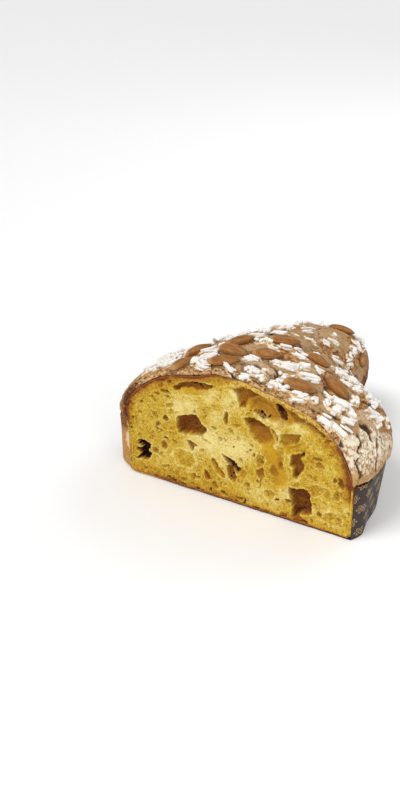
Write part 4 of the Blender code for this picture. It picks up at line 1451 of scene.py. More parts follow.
def joins(fine, coarse):
    """Faces between a fine edge and a coarse one."""
    faces = []
    for k in range(len(coarse) - 1):
        start = k * GLAZE_COARSER
        faces.append(fine[start:start + GLAZE_COARSER + 1] + [coarse[k + 1], coarse[k]])
    return faces


def glaze_values(points, almonds):
    """What the relief and the colour of the glaze follow at its points."""
    x, depth, up = [points[..., k] for k in range(3)]
    nuts = almond_gauge(points, almonds)
    clear = smooth((nuts - 1.0) / 0.3)
    bent = points + 1.2 * MM * np.stack([fractal(points, 5 * MM, 65 + k) for k in range(3)], axis=-1)
    flour = flour_share(points)
    rods, heaps = sugar_lines()
    sugar = 1 - rise(line_distance(bent, rods + heaps), -0.5, 2.6)
    heap = 1 - rise(line_distance(bent, heaps), -0.8, 1)
    crack = 1 - rise(line_distance(bent, traced_cracks()), -0.3, 0.9)
    crack = np.maximum(crack, crack_share(points, flour))
    plate, trench = np.zeros_like(x), np.zeros_like(x)
    for *spot, half_length, half_width, lift, heading in PLATES:
        gauge = oval_gauge(bent, frame_on(*spot, heading), half_length * MM, half_width * MM)
        plate = np.maximum(plate, lift * smooth((1.05 - gauge) / 0.22))
        # The trench round a plate is sunk, and with the cracks it is painted in shade under the plate's
        # edge.
        trench = np.maximum(trench, min(1.0, lift / 1.6) * np.exp(-((gauge - 1.12) / 0.07) ** 2))
    broken = smooth((fractal(points, 21 * MM, 64) + 0.02) / 0.5) * (1 - np.minimum(plate, 1)) * (1 - flour)
    front = 1 - rise(depth, *FRONT_BEHIND)
    near_cut = front * (1 - 0.45 * rise(x, *FRONT_FADES_ACROSS)) * (1 - flour)
    scorched = near_cut * rise(x, *SCORCHED_ACROSS) * rise(up, *SCORCHED_UP)
    tail = hill(depth, *TAIL_BEHIND) * rise(x, *TAIL_ACROSS) * rise(up, *TAIL_UP)
    return {
        "front": np.maximum(near_cut + front * flour, tail),
        "scorched": np.maximum(scorched, tail),
        "pit": pit_share(points) * clear,
        "crack": np.maximum(crack, trench * 0.45) * clear,
        "heap": heap * smooth((nuts - 1.0) / 0.1),
        "flour": flour,
        "sugar": sugar * clear,
        "rim": np.exp(-((nuts - 1.22) / 0.12) ** 2),
        "plate": plate,
        "ragged": np.maximum(broken * (1 - sugar), near_cut),
        "shadow": np.exp(-((nuts - 1.04) / 0.09) ** 2),
    }


def pit_share(points):
    """1 in the middle of the small pits of the glaze."""
    nearest, _ = cell_distances(points, 5.5 * MM, 71)
    chosen = smooth((value_noise(points, 11 * MM, 72) - 0.05) / 0.3)
    return (1 - smooth((nearest - 0.10) / 0.16)) * chosen


def crack_share(points, flour):
    """1 in the finer cracks of the glaze."""
    bent = points + 2.5 * MM * np.stack([fractal(points, 8 * MM, 73 + k) for k in range(3)], axis=-1)
    long_cells, long_second = cell_distances(bent * (1, 1, 0.45), 17 * MM, 76)
    long_crack = 1 - smooth((long_second - long_cells) / 0.075)
    somewhere = smooth((value_noise(points, 26 * MM, 78) - 0.12) / 0.25)
    return long_crack * somewhere * (1 - flour)


def glaze_finish(settings):
    """Matt taupe glaze, browner where it broke up, cream round the sugar and on its cracked side, with
    painted shade in its cracks, pits and holes.
    """
    m = new_maker()
    place = m.place()
    pit, crack, flour, sugar, ragged = m.values("pit crack flour sugar ragged")
    shadow, front, scorched, plate = m.values("shadow front scorched plate")
    broad = m.grain(place, 16 * MM, 3)
    patch = m.grain(place, 3 * MM, 4, 0.6)
    speck = m.grain(place, 0.8 * MM, 3, 0.7)
    tone = (broad - 0.5) * 0.8 + (patch - 0.5) * 0.9
    tone = m.math("ADD", tone, (speck - 0.5) * 1.3 + 0.55, clamp=True)
    colour = m.mix(tone, settings.dark, settings.light)
    dried = m.step(plate, 1.0, 1.6) * m.step(speck, 0.46, 0.60) * 0.5
    colour = m.mix(dried, colour, settings.cream)
    broken = m.mix(m.step(patch, 0.40, 0.62), settings.brown, settings.tan)
    crumbs = m.step(m.grain(place, 2.2 * MM, 3), 0.60, 0.70)
    broken = m.mix(crumbs * 0.7, broken, blend(settings.tan, settings.cream, 0.6))
    colour = m.mix(m.step(ragged + (patch - 0.5) * 0.8, 0.35, 0.75), colour, broken)
    crumbled = m.ramp(m.grain(place, 2.4 * MM, 4, 0.65) + (speck - 0.5) * 0.5 - scorched * 0.22,
                      [(0.28, blend(settings.shade, settings.brown, 0.35)), (0.40, settings.brown),
                       (0.50, blend(settings.brown, settings.tan, 0.8)),
                       (0.60, blend(settings.tan, settings.cream, 0.25)),
                       (0.74, blend(settings.tan, settings.cream, 0.8))])
    colour = m.mix(m.step(front + (patch - 0.5) * 0.6, 0.30, 0.70), colour, crumbled)
    halo = m.mix(m.step(patch, 0.36, 0.60), settings.tan, settings.cream)
    colour = m.mix(m.step(sugar + (patch - 0.5) * 0.4, 0.15, 0.6), colour, halo)
    drawn = m.warped(place, 4 * MM, 3 * MM, (1, 1, 0.55))
    seams = m.step(m.cells(drawn, 4 * MM, "DISTANCE_TO_EDGE"), 0.10, 0.03) * m.step(broad, 0.36, 0.56)
    height = m.parts(place)[2]
    high = m.step(height + (patch - 0.5) * (16 * MM), 55 * MM, 70 * MM, 0.15, 1.0)
    flakes = m.step(m.grain(place, 3.6 * MM, 4, 0.65), 0.36, 0.50) * high
    pale_side = m.mix(flakes, blend(settings.tan, settings.brown, 0.10), settings.cream)
    pale_side = m.mix(flakes * m.step(speck, 0.52, 0.64) * 0.6, pale_side, (1, 0.97, 0.9))
    pale_side = m.mix(seams * 0.6, pale_side, blend(settings.tan, settings.brown, 0.6))
    pale_side = m.mix(front * (1.1 - high) * 0.8, pale_side, settings.tan)
    colour = m.mix(flour, colour, pale_side)
    # Holes and cavities are small pits whose dark is painted shade.
    holes = m.step(m.cells(place, 2.2 * MM), 0.22, 0.10) * m.step(broad + ragged * 0.3, 0.40, 0.55)
    cavities = m.step(m.cells(drawn, 4.5 * MM), 0.30, 0.16)
    cavities = cavities * m.step(front + ragged * 0.3 + broad, 0.75, 1.1)
    specks = m.step(speck, 0.36, 0.27) * 0.6 * (1.0 - flour)
    # The dark mix is painted shade in the pits, cracks, holes and cavities, with the fine specks, and a
    # painted shadow ring round each almond.
    dark = m.largest(pit * 0.9, crack, holes * 0.8, shadow * 0.8, cavities * 0.85, specks)
    colour = m.mix(dark, colour, m.mix(flour * 0.35, settings.shade, settings.brown))
    relief = patch * 0.9 + speck * 0.5 + (flakes * 0.5 - seams * 1.2) * flour - holes * 0.8
    return surface("baked glaze", colour, 0.8, m.bump(relief, 0.8, 0.8 * MM), Specular_IOR_Level=0.3)


# Pearl sugar

# Rods of sugar by close-up: their two ends and their width.
RODS = {
    "crown": (
        (875, 275, 1150, 275, 45), (575, 670, 685, 785, 60), (765, 830, 905, 830, 60),
        (1200, 620, 1400, 650, 40), (1300, 670, 1560, 740, 50), (1190, 430, 1270, 460, 30),
        (265, 500, 480, 430, 50), (300, 540, 520, 520, 50), (1190, 235, 1400, 255, 45),
        (1280, 200, 1390, 160, 40), (1400, 180, 1490, 175, 30), (840, 590, 1000, 600, 45),
        (900, 550, 1050, 600, 45), (260, 640, 400, 680, 40), (230, 680, 380, 710, 40),
        (880, 730, 1000, 790, 45), (1160, 900, 1260, 930, 60),
    ),
    "tail": (
        (345, 295, 455, 385, 38), (555, 345, 640, 400, 40), (625, 325, 750, 385, 30),
        (985, 355, 1050, 500, 55), (900, 405, 1000, 480, 28), (675, 535, 815, 695, 40),
        (675, 715, 815, 715, 35), (820, 620, 990, 720, 42), (0, 410, 155, 450, 35),
        (175, 520, 335, 580, 35), (280, 510, 370, 560, 35), (180, 465, 280, 475, 40),
        (290, 185, 440, 190, 35), (300, 205, 410, 220, 35), (80, 160, 180, 180, 35), (0, 245, 90, 250, 35),
        (0, 630, 180, 650, 40), (0, 660, 200, 730, 45), (200, 640, 400, 690, 50), (430, 700, 570, 780, 50),
        (250, 790, 400, 830, 60), (360, 820, 520, 880, 60), (725, 770, 900, 775, 60),
        (785, 845, 940, 955, 40), (160, 1030, 350, 1085, 45),
    ),
    "right": (
        (880, 60, 1050, 190, 55), (20, 340, 190, 385, 40), (470, 270, 600, 360, 40),
        (510, 380, 545, 460, 50), (620, 360, 800, 500, 90), (740, 390, 910, 540, 70),
        (600, 480, 700, 560, 80), (830, 550, 930, 630, 70), (740, 600, 900, 710, 60),
        (440, 610, 560, 770, 80), (620, 680, 760, 910, 90), (1110, 470, 1260, 600, 60),
        (1050, 560, 1240, 620, 60), (1150, 660, 1310, 690, 75), (1010, 230, 1180, 330, 60),
        (140, 20, 420, 90, 60), (1200, 370, 1290, 440, 50),
    ),
}

# Heaps of grains of sugar by close-up: their middle, and their radius in millimetres.
GRAIN_HEAPS = {
    "crown": (
        (60, 510, 5), (560, 405, 3), (600, 320, 4), (330, 590, 4), (250, 610, 4), (200, 640, 4),
        (1090, 340, 3), (1010, 360, 3), (1180, 380, 3), (940, 590, 3), (910, 735, 3), (960, 770, 3),
        (1010, 790, 3), (1070, 820, 3), (1110, 750, 2), (1440, 650, 3), (1520, 700, 3), (1360, 800, 3),
        (1370, 845, 2), (1210, 910, 3), (1310, 880, 3), (1290, 950, 3), (1390, 980, 3), (1530, 1050, 3),
        (1520, 240, 3), (1490, 830, 2),
    ),
    "tail": (
        (705, 275, 3), (955, 490, 3), (890, 560, 3), (470, 520, 3), (1005, 995, 3), (1110, 1030, 3),
        (700, 675, 2), (330, 700, 3), (230, 680, 3),
    ),
    "right": (
        (960, 220, 3), (1370, 730, 2), (330, 370, 3), (1260, 420, 2), (1360, 650, 2),
    ),
    "left": (
        (520, 350, 4), (600, 310, 4), (870, 290, 3), (1000, 130, 5), (1080, 80, 5), (1250, 60, 3),
        (450, 400, 3), (1350, 200, 4), (1450, 300, 3),
    ),
}

# How far from its middle an end of a rod can be, and the longest rod and the thinnest and thickest ones,
# in millimetres.
ROD_REACH = 12 * MM
LONGEST_ROD = 14
ROD_WIDTHS = (2.4, 4.4)

# Heaps where the photograph shows little or nothing: right of the middle, behind the cut, and radius,
# in millimetres.
HIDDEN_HEAPS = (
    (-87, 37, 5), (-87, 50, 6), (-87, 58, 5), (-88, 43, 5), (-72, 26, 6), (-68, 34, 6), (-80, 30, 6),
    (-64, 20, 4), (-37, 26, 5), (-30, 22, 4), (-28, 34, 4), (68, 66, 5), (74, 70, 5), (-10, 80, 5),
    (-24, 74, 5), (0, 100, 5), (88, 42, 4), (96, 62, 5), (-36, 108, 5), (-86, 70, 6), (-38, 96, 6),
    (-30, 140, 6), (-32, 170, 5), (-14, 176, 6), (8, 196, 5), (-20, 124, 6), (-6, 152, 5), (36, 196, 4),
    (-98, 60, 5),
)

# Rods on the side that the photograph hides: where and how they are drawn, and how far each keeps from
# the others and from the almonds, in millimetres.
HIDDEN_ACROSS = (-105, 45)
HIDDEN_BEHIND = (60, 205)
HIDDEN_LEFT_OF = -28
HIDDEN_TURN = 0.15
HIDDEN_TAIL = 180
HIDDEN_GAUGE = 0.92
HIDDEN_LENGTHS = (8, 14)
HIDDEN_WIDTHS = (2.4, 3.4)
ROD_SPACING = 7
ALMOND_CLEARANCE = 13 * MM

# A rod is a main bar and a thinner one on each side of it, as shares of the width that is listed. The
# thin bars keep clear of the cut, and bars within reach of each other are stacked, in millimetres.
MAIN_BAR = 0.95
SIDE_BAR = 0.58
CLEAR_OF_CUT = 4
CROWD_REACH = 3.5

# How far apart the grains of a heap lie, as a share of their size, and how many a square metre may hold.
GRAIN_SPACING = 0.6
MOST_GRAINS = 500000


def crystal(name, draw, squareness, fineness):
    """One rough crystal of sugar, one unit long, wide and high."""
    bm = bmesh.new()
    bmesh.ops.create_icosphere(bm, subdivisions=fineness, radius=0.5)
    offset = Vector(draw.uniform(-9, 9, 3).tolist())
    for vertex in bm.verts:
        unit = vertex.co.normalized()
        box = 0.5 / max(abs(unit.x), abs(unit.y), abs(unit.z))
        vertex.co = unit * (0.5 * (1 - squareness) + box * squareness)
        vertex.co *= 1 + 0.24 * noise.noise(unit * 1.5 + offset)
        if fineness > 2:
            lumps = Vector((unit.x * 5, unit.y * 1.5, unit.z * 1.5)) + offset
            vertex.co.yz = vertex.co.yz * (1 + 0.25 * noise.noise(lumps))
    mesh = bpy.data.meshes.new(name)
    bm.to_mesh(mesh)
    bm.free()
    mesh.shade_smooth()
    return bpy.data.objects.new(name, mesh)


def crystal_group(name, count, squareness, fineness):
    """A collection of differing crystals for a sugar tree to pick from."""
    draw = np.random.default_rng(SEED + count)
    group = bpy.data.collections.new(name)
    for number in range(count):
        group.objects.link(crystal(f"{name}_{number}", draw, squareness, fineness))
    return group


def remove_group(group):
    """Removes a collection and what is in it."""
    for helper in list(group.objects):
        bpy.data.objects.remove(helper)
    bpy.data.collections.remove(group)


def open_tree(name, inputs):
    """A geometry tree with named inputs: its maker and the wires of its inputs."""
    tree = bpy.data.node_groups.new(name, "GeometryNodeTree")
    tree.interface.new_socket(name="Geometry", in_out="INPUT", socket_type="NodeSocketGeometry")
    for key, kind in inputs:
        tree.interface.new_socket(name=key, in_out="INPUT", socket_type=kind)
    tree.interface.new_socket(name="Geometry", in_out="OUTPUT", socket_type="NodeSocketGeometry")
    m = Maker(tree)
    entry = tree.nodes.new("NodeGroupInput")
    return m, [Wire(m, socket) for socket in entry.outputs[:-1]]


def close_tree(m, points, rotation, scale, crystals, material):
    """The end of a sugar tree: crystals on the points, made real and given their material."""
    sockets = {"Collection": crystals, "Separate Children": True, "Reset Children": True}
    source = m.node("GeometryNodeCollectionInfo", {}, sockets)
    sockets = {"Points": points, "Instance": source, "Pick Instance": True, "Rotation": rotation,
               "Scale": scale}
    copies = m.node("GeometryNodeInstanceOnPoints", {}, sockets)
    real = m.node("GeometryNodeRealizeInstances", {}, {0: copies})
    finished = m.node("GeometryNodeSetMaterial", {}, {"Geometry": real, "Material": material})
    ending = m.tree.nodes.new("NodeGroupOutput")
    m.tree.links.new(finished.socket, ending.inputs[0])
    return m.tree


def grain_tree(crystals, material):
    """Geometry Nodes that strew grains over a surface where its heap value is high."""
    m, (surface_in, size, heap, seed) = open_tree(
        "sugar grains", (("Grain Size", "NodeSocketFloat"), ("Heap Height", "NodeSocketFloat"),
                         ("Seed", "NodeSocketInt")))
    share = m.node("GeometryNodeInputNamedAttribute", {"data_type": "FLOAT"}, {"Name": "heap"})
    points, normal, turn = m.outputs(m.node(
        "GeometryNodeDistributePointsOnFaces", {"distribute_method": "POISSON"},
        {"Mesh": surface_in, "Distance Min": size * GRAIN_SPACING, "Density Max": MOST_GRAINS,
         "Density Factor": share, "Seed": seed}))
    lift = m.node("FunctionNodeRandomValue", {"data_type": "FLOAT"}, {2: 0.1, 3: 1.0, 8: seed}, 1)
    raised = m.node("ShaderNodeVectorMath", {"operation": "SCALE"},
                    {0: normal, "Scale": lift * share * heap})
    placed = m.node("GeometryNodeSetPosition", {}, {"Geometry": points, "Offset": raised})
    spin = m.node("FunctionNodeRandomValue", {"data_type": "FLOAT_VECTOR"},
                  {0: (-0.6, -0.6, 0.0), 1: (0.6, 0.6, 6.28), 8: seed})
    turned = m.node("FunctionNodeRotateRotation", {"rotation_space": "LOCAL"},
                    {0: turn, 1: m.node("FunctionNodeEulerToRotation", {}, {0: spin})})
    wide = m.node("FunctionNodeRandomValue", {"data_type": "FLOAT_VECTOR"},
                  {0: (0.8, 0.6, 0.6), 1: (1.5, 1.05, 0.95), 8: seed})
    scale = m.node("ShaderNodeVectorMath", {"operation": "SCALE"}, {0: wide, "Scale": size})
    return close_tree(m, placed, turned, scale, crystals, material)


def rod_tree(crystals, material):
    """Geometry Nodes that put a rod on every point, turned and sized by the point's own values."""
    m, (points, length, width) = open_tree(
        "sugar rods", (("Rod Length", "NodeSocketFloat"), ("Rod Width", "NodeSocketFloat")))
    turn, size = [m.node("GeometryNodeInputNamedAttribute", {"data_type": "FLOAT_VECTOR"}, {"Name": key})
                  for key in ("turn", "size")]
    rotation = m.node("FunctionNodeEulerToRotation", {}, {0: turn})
    along, across, up = m.parts(size)
    scale = m.node("ShaderNodeCombineXYZ", {}, {0: along * length, 1: across * width, 2: up * width})
    return close_tree(m, points, rotation, scale, crystals, material)


def sugar_finish(settings):
    """White sugar, a little cream where it caught the heat."""
    m = new_maker()
    place = m.place()
    warm = m.step(m.grain(place, 5 * MM, 3), 0.50, 0.72, 0, 0.45)
    colour = m.mix(warm, settings.white, settings.toasted)
    return surface("pearl sugar", colour, 0.55, m.bump(m.grain(place, 0.9 * MM, 3), 0.5, 0.4 * MM),
                   Specular_IOR_Level=0.4)


def use_tree(body, tree, values):
    """Puts a geometry tree on an object and sets its named inputs."""
    modifier = body.modifiers.new(tree.name, "NODES")
    modifier.node_group = tree
    for item in tree.interface.items_tree:
        if item.in_out == "INPUT" and item.name in values:
            modifier[item.identifier] = values[item.name]


def all_rods(more):
    """The traced rods, and more by a seeded draw over the side that the photograph hides."""
    draw = np.random.default_rng(SEED)
    rods = traced_rods()
    almonds = [np.array(place.translation)[:2] for place, _ in almond_places()]
    wanted = len(rods) + more
    while len(rods) < wanted:
        x, depth = draw.uniform(*HIDDEN_ACROSS), draw.uniform(*HIDDEN_BEHIND)
        heading, length, width = [draw.uniform(*span) for span in ((0, 180), HIDDEN_LENGTHS, HIDDEN_WIDTHS)]
        ridge = HIDDEN_LEFT_OF - HIDDEN_TURN * (depth - HIDDEN_BEHIND[0])
        hidden = x < ridge or depth > HIDDEN_TAIL
        if not hidden or dove_gauge(x * MM, depth * MM) > HIDDEN_GAUGE:
            continue
        if min(math.hypot(x - rod[0], depth - rod[1]) for rod in rods) < ROD_SPACING:
            continue
        spot = np.array([x * MM, depth * MM + CUT_Y])
        if min(np.linalg.norm(spot - almond) for almond in almonds) >= ALMOND_CLEARANCE:
            rods.append((x, depth, heading, length, width))
    return rods


def rod_points(rods, tree, settings):
    """A mesh with a point for every rod, with the values that turn it and size it."""
    draw = np.random.default_rng(SEED)
    spots, turns, sizes = [], [], []
    bundles = []
    for x, depth, heading, length, width in rods:
        bundles.append((x, depth, heading, length, width * MAIN_BAR))
        for side in (-1, 1):
            away = side * width * draw.uniform(0.8, 1.1)
            shift = length * draw.uniform(-0.25, 0.25)
            turn = math.radians(heading)
            beside = depth + shift * math.sin(turn) + away * math.cos(turn)
            if beside > CLEAR_OF_CUT:
                bundles.append((x + shift * math.cos(turn) - away * math.sin(turn), beside,
                                heading + draw.normal(0, 8), length * draw.uniform(0.45, 0.9),
                                width * SIDE_BAR))
    for index, (x, depth, heading, length, width) in enumerate(bundles):
        place = frame_on(x, depth, heading, tree)
        crowd = sum(math.hypot(x - other[0], depth - other[1]) < CROWD_REACH for other in bundles[:index])
        lift = width * MM * (0.25 + 0.22 * min(crowd, 3))
        tilt = Matrix.Rotation(draw.normal(0, 0.08), 4, "Y")
        spots.append(place @ Vector((0, 0, lift)))
        turns.append((place @ tilt).to_euler())
        across = width * MM / settings.rod_width
        sizes.append((length * MM / settings.rod_length, across, across * draw.uniform(0.65, 0.9)))
    mesh = bpy.data.meshes.new("rod spots")
    mesh.from_pydata(spots, [], [])
    write_values(mesh, "turn", np.array(turns))
    write_values(mesh, "size", np.array(sizes))
    return new_object("rod spots", mesh)


class COLOMBA_OT_sugar(bpy.types.Operator):
    """Strews pearl sugar over the glaze, in rods and in heaps of grains."""

    bl_idname = "colomba.sugar"
    bl_label = "Pearl sugar"

    def execute(self, context):
        """Runs one tree on a copy of the glaze and another on the places of the rods."""
        settings = context.scene.colomba_sugar
        glaze = bpy.data.objects["baked_glaze"]
        material = sugar_finish(settings)
        carrier = new_object("carrier", glaze.data.copy())
        grains = crystal_group("grain", 6, 0.55, 2)
        use_tree(carrier, grain_tree(grains, material),
                 {"Grain Size": settings.grain_size, "Heap Height": settings.heap_height, "Seed": SEED})
        spots = rod_points(all_rods(settings.more_rods), surface_tree(glaze.data), settings)
        rods = crystal_group("rod", 9, 0.8, 3)
        use_tree(spots, rod_tree(rods, material),
                 {"Rod Length": settings.rod_length, "Rod Width": settings.rod_width})
        pieces = [applied(carrier, "pearl_sugar"), applied(spots, "sugar_rods")]
        remove_group(grains)
        remove_group(rods)
        for piece in pieces:
            if not piece.data.polygons:
                raise RuntimeError(f"{piece.name} is empty")
            settle(piece, ["glaze"])
        return {"FINISHED"}


# Almonds

def make_almond(number, place, size, settings, material):
    """One almond: blunt at one end, pointed at the other, with wrinkles along it."""
    bm = bmesh.new()
    bmesh.ops.create_uvsphere(bm, u_segments=48, v_segments=32, radius=1)
    bmesh.ops.rotate(bm, verts=bm.verts, matrix=Matrix.Rotation(math.pi / 2, 3, "Y"))
    lie = []
    middle = settings.thickness / 2 * 0.32
    twist = noise.noise(Vector((number * 3.7, 0, 0)))
    for vertex in bm.verts:
        along, side, up = vertex.co
        taper = 1 - 0.30 * max(along, 0) ** 1.5 + 0.05 * min(along, 0)
        point = max(0.0, along - 0.86) / 0.14
        angle = math.atan2(up, side)
        around = Vector((along * 0.9, 3.4 * math.cos(angle + 0.3 * along), 3.4 * math.sin(angle) + number))
        wrinkle = noise.noise(around) + 0.5 * noise.noise(around * Vector((1.5, 2.1, 2.1)))
        lump = noise.noise(Vector((along * 1.3, side * 1.3, number * 5.1)))
        bulk = 1 + 0.045 * wrinkle * (1 - along ** 2) + 0.06 * lump
        bend = 0.08 * twist * along ** 2
        local = Vector(((along + 0.05 * point ** 2) * settings.length / 2 * size,
                        (side * taper * bulk + bend) * settings.width / 2 * size,
                        up * settings.thickness / 2 * taper * bulk + middle))
        lie.append((along, angle / math.pi, float(number)))
        vertex.co = place @ local
    mesh = bpy.data.meshes.new("almond")
    bm.to_mesh(mesh)
    bm.free()
    mesh.shade_smooth()
    write_values(mesh, "lie", np.array(lie))
    mesh.materials.append(material)
    piece = new_object(f"almond_nut_{number:02d}", mesh)
    settle(piece, [f"almond_{number:02d}"])


def almond_finish(settings):
    """Brown skin with darker furrows along the nut and a pale, dusty blunt end."""
    m = new_maker()
    lie = m.vector("lie")
    place = m.place()
    along, turn, number = m.parts(lie)
    turn = turn * math.pi
    across, up = m.math("COSINE", turn) * 3.5, m.math("SINE", turn) * 3.5 + number * 3.7
    round_place = m.node("ShaderNodeCombineXYZ", {}, {0: along * 1.2, 1: across, 2: up})
    streak = m.node("ShaderNodeTexNoise", {}, {"Vector": round_place, "Scale": 1.0, "Detail": 4.0})
    sockets = {"Vector": round_place, "Scale": 3.0, "Detail": 3.0, "Distortion": 0.4}
    line = m.node("ShaderNodeTexNoise", {}, sockets)
    grit = m.grain(place, 1.0 * MM, 3, 0.7)
    tone = m.math("ADD", (streak - 0.5) * 1.6 + (line - 0.5) * 1.9, (grit - 0.5) * 1.6 + 0.46, clamp=True)
    colour = m.mix(tone, settings.skin, settings.furrow)
    colour = m.mix(m.step(grit, 0.56, 0.68) * 0.4, colour, settings.tip)
    colour = m.mix(m.step(grit, 0.42, 0.32) * 0.5, colour, settings.furrow)
    dust = m.step(m.grain(place, 6 * MM, 3), 0.46, 0.68, 0, 0.18)
    colour = m.mix(dust, colour, settings.tip)
    colour = m.mix(m.step(along + (grit - 0.5) * 0.5, -0.60, -0.90, 0, 0.75), colour, settings.tip)
    return surface("almond skin", colour, 0.6, m.bump(streak * 0.7 + line + grit * 0.4, 0.8, 0.6 * MM),
                   Specular_IOR_Level=0.35)


class COLOMBA_OT_almonds(bpy.types.Operator):
    """Sets the almonds into the glaze."""

    bl_idname = "colomba.almonds"
    bl_label = "Almonds"

    def execute(self, context):
        """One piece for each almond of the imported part."""
        settings = context.scene.colomba_almonds
        material = almond_finish(settings)
        for number, (place, size) in enumerate(almond_places(), start=1):
            make_almond(number, place, size, settings, material)
        return {"FINISHED"}


# The paper case

class COLOMBA_OT_paper(bpy.types.Operator):
    """Makes the printed paper case."""

    bl_idname = "colomba.paper"
    bl_label = "Paper case"

    def execute(self, context):
        """A thin wall round the loaf, open at the cut, and its floor."""
        settings = context.scene.colomba_paper
        line = widest_line(PAPER_COLUMNS)
        overhang = CRUST_OVERHANG * swell(line)
        flare = PAPER_FLARE * swell(line)
        run = distances_along(line)
        outer, inner = [], []
        for share in np.linspace(0, 1, PAPER_ROWS + 1):
            height = PAPER_HEIGHT * share
            wave = np.stack([run, np.full_like(run, height), np.zeros_like(run)], axis=1)
            wave = 0.35 * MM * value_noise(wave, 15 * MM, 81) * share * rise(line[:, 1], 0, 12)
            inset = overhang + flare * (1 - share) - wave
            outer.append(ring(line, inset, height))
            inner.append(ring(line, inset + PAPER_THICKNESS, max(height, PAPER_THICKNESS)))
        profile = np.array(outer + inner[::-1])
        profile[:, 0] += (profile[:, 1] - profile[:, 0]) * PAPER_CUT_SETBACK / line[1, 1]
        behind = [i for i in range(len(line)) if line[i, 0] > 0 or line[i, 1] > PAPER_LEFT_START]
        profile, run = profile[:, behind], run[behind]
        count, columns = profile.shape[:2]
        faces = strips(count, columns)
        for end in (0, columns - 1):
            faces.append([end + columns * row for row in range(count)])
        corner = count * columns
        floor = [(FLOOR_CORNER_X, FLOOR_FRONT_DEPTH, height) for height in (0, PAPER_THICKNESS)]
        points = np.concatenate([profile.reshape(-1, 3), floor])
        inner_foot = list(range((count - 1) * columns, count * columns))
        faces.append(list(range(columns)) + [corner])
        faces.append(inner_foot + [corner + 1])
        faces.append([0, corner, corner + 1, inner_foot[0]])
        faces.append([columns - 1, inner_foot[-1], corner + 1, corner])
        print_place = [np.broadcast_to(run, (count, columns)), profile[:, :, 2], np.zeros((count, columns))]
        print_place = np.stack(print_place, axis=-1).reshape(-1, 3)
        print_place = np.concatenate([print_place, np.zeros((2, 3))])
        piece = build("paper_mould", points, faces, paper_finish(settings), {"print": print_place})
        settle(piece, ["paper_case"])
        return {"FINISHED"}


def paper_finish(settings):
    """Dark baking paper with a worn, staggered print of plain wreaths."""
    m = new_maker()
    place = m.vector("print")
    fibre = m.grain(m.place(), 1.2 * MM, 4)
    across, up, _ = m.parts(place)
    across = across / settings.motif_spacing
    up = up / (settings.motif_spacing * 0.62)
    across = across + m.math("MODULO", m.math("FLOOR", up), 2.0) * 0.5
    u = (m.math("FRACT", across) - 0.5) * settings.motif_spacing
    v = (m.math("FRACT", up) - 0.5) * (settings.motif_spacing * 0.62)
    radius = m.math("SQRT", u * u * 0.5 + v * v) / (settings.motif_size / 2)
    angle = m.math("ARCTAN2", v, u * 0.7)
    petal = m.math("COSINE", angle * 6.0) * 0.20 + 0.72
    outline = m.step(m.math("ABSOLUTE", radius - petal), 0.20, 0.06)
    heart = m.step(m.math("ABSOLUTE", radius - 0.28), 0.14, 0.05)
    worn = m.step(m.grain(m.place(), 1.1 * MM, 3, 0.7), 0.36, 0.52)
    ink = m.largest(outline, heart) * worn
    colour = m.mix(ink * 0.85, m.mix(fibre, blend(settings.paper, (0, 0, 0), 0.35), settings.paper),
                   settings.print_colour)
    return surface("baking paper", colour, 0.62 - ink * 0.15, m.bump(fibre, 0.25, 0.3 * MM),
                   Specular_IOR_Level=0.3)


# The stage

FLOOR_HALF = 8.0
KEY_SOFTNESS = math.radians(32)
KEY_AT = (-0.55, -0.75, 1.35)
FILL_AT = (0.9, -0.9, 0.6)
FILL_SIZE = 1.0
BACK_AT = (0.3, 1.0, 1.1)
BACK_SIZE = 0.8
LOAF_MIDDLE = (0, 0, 60 * MM)


def add_light(name, kind, at, power, size):
    """A soft light that looks at the middle of the loaf: its size is an angle for the sun."""
    lamp = bpy.data.lights.new(name, kind)
    lamp.energy = power
    if kind == "SUN":
        lamp.angle = size
    else:
        lamp.size = size
    body = bpy.data.objects.new(name, lamp)
    body.location = at
    body.rotation_euler = look(at, LOAF_MIDDLE)
    bpy.context.scene.collection.objects.link(body)


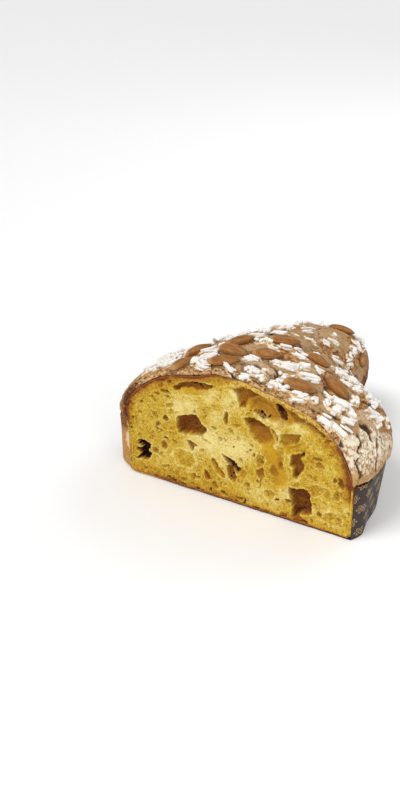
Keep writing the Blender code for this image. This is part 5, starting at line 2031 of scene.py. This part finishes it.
class COLOMBA_OT_stage(bpy.types.Operator):
    """Makes the floor, the lights and the camera."""

    bl_idname = "colomba.stage"
    bl_label = "Stage"

    def execute(self, context):
        """A pale floor under soft light."""
        settings = context.scene.colomba_stage
        mesh = bpy.data.meshes.new("floor")
        corners = [(-1, -1), (1, -1), (1, 1), (-1, 1)]
        mesh.from_pydata([(x * FLOOR_HALF, y * FLOOR_HALF, 0) for x, y in corners], [], [(0, 1, 2, 3)])
        m = new_maker()
        tone = m.grain(m.place(), 0.5, 2)
        pale = m.mix(tone, settings.floor, blend(settings.floor, (1, 1, 1), 0.2))
        mesh.materials.append(surface("pale floor", pale, 0.7))
        new_object("floor", mesh)
        add_light("key", "SUN", KEY_AT, settings.key_strength, KEY_SOFTNESS)
        add_light("fill", "AREA", FILL_AT, settings.fill_power, FILL_SIZE)
        add_light("back", "AREA", BACK_AT, settings.fill_power, BACK_SIZE)
        world = bpy.data.worlds.new("studio")
        world.use_nodes = True
        sky = world.node_tree.nodes["Background"]
        sky.inputs["Color"].default_value = (1, 1, 1, 1)
        sky.inputs["Strength"].default_value = settings.sky
        context.scene.world = world
        lens = bpy.data.cameras.new("camera")
        lens.lens = CAMERA_LENS
        camera = bpy.data.objects.new("camera", lens)
        camera.location = CAMERA_AT
        camera.rotation_euler = look(CAMERA_AT, CAMERA_LOOKS_AT)
        context.scene.collection.objects.link(camera)
        context.scene.camera = camera
        context.scene.view_settings.view_transform = "Standard"
        return {"FINISHED"}


# The panel and the run

SETTINGS = {
    "colomba_crumb": ColombaCrumbSettings,
    "colomba_glaze": ColombaGlazeSettings,
    "colomba_sugar": ColombaSugarSettings,
    "colomba_almonds": ColombaAlmondSettings,
    "colomba_paper": ColombaPaperSettings,
    "colomba_stage": ColombaStageSettings,
}
OPERATORS = (COLOMBA_OT_stage, COLOMBA_OT_crumb, COLOMBA_OT_crust, COLOMBA_OT_glaze, COLOMBA_OT_sugar,
             COLOMBA_OT_almonds, COLOMBA_OT_paper)


class COLOMBA_PT_panel(bpy.types.Panel):
    """Lists the pieces of the loaf and their settings."""

    bl_idname = "COLOMBA_PT_panel"
    bl_label = "Colomba"
    bl_space_type = "VIEW_3D"
    bl_region_type = "UI"
    bl_category = "Colomba"

    def draw(self, context):
        """One button for each piece, then every setting."""
        for operator in OPERATORS:
            self.layout.operator(operator.bl_idname)
        for name, group in SETTINGS.items():
            box = self.layout.box()
            for key in group.__annotations__:
                box.prop(getattr(context.scene, name), key)


def register():
    """Registers the classes and their settings."""
    for group in SETTINGS.values():
        bpy.utils.register_class(group)
    for name, group in SETTINGS.items():
        setattr(bpy.types.Scene, name, PointerProperty(type=group))
    for piece in OPERATORS + (COLOMBA_PT_panel,):
        bpy.utils.register_class(piece)


def unregister():
    """Undoes register."""
    for piece in reversed(OPERATORS + (COLOMBA_PT_panel,)):
        bpy.utils.unregister_class(piece)
    for name, group in SETTINGS.items():
        delattr(bpy.types.Scene, name)
        bpy.utils.unregister_class(group)


def main():
    """Builds every piece in order."""
    register()
    for operator in OPERATORS:
        group, name = operator.bl_idname.split(".")
        getattr(getattr(bpy.ops, group), name)()


if __name__ == "__main__":
    main()
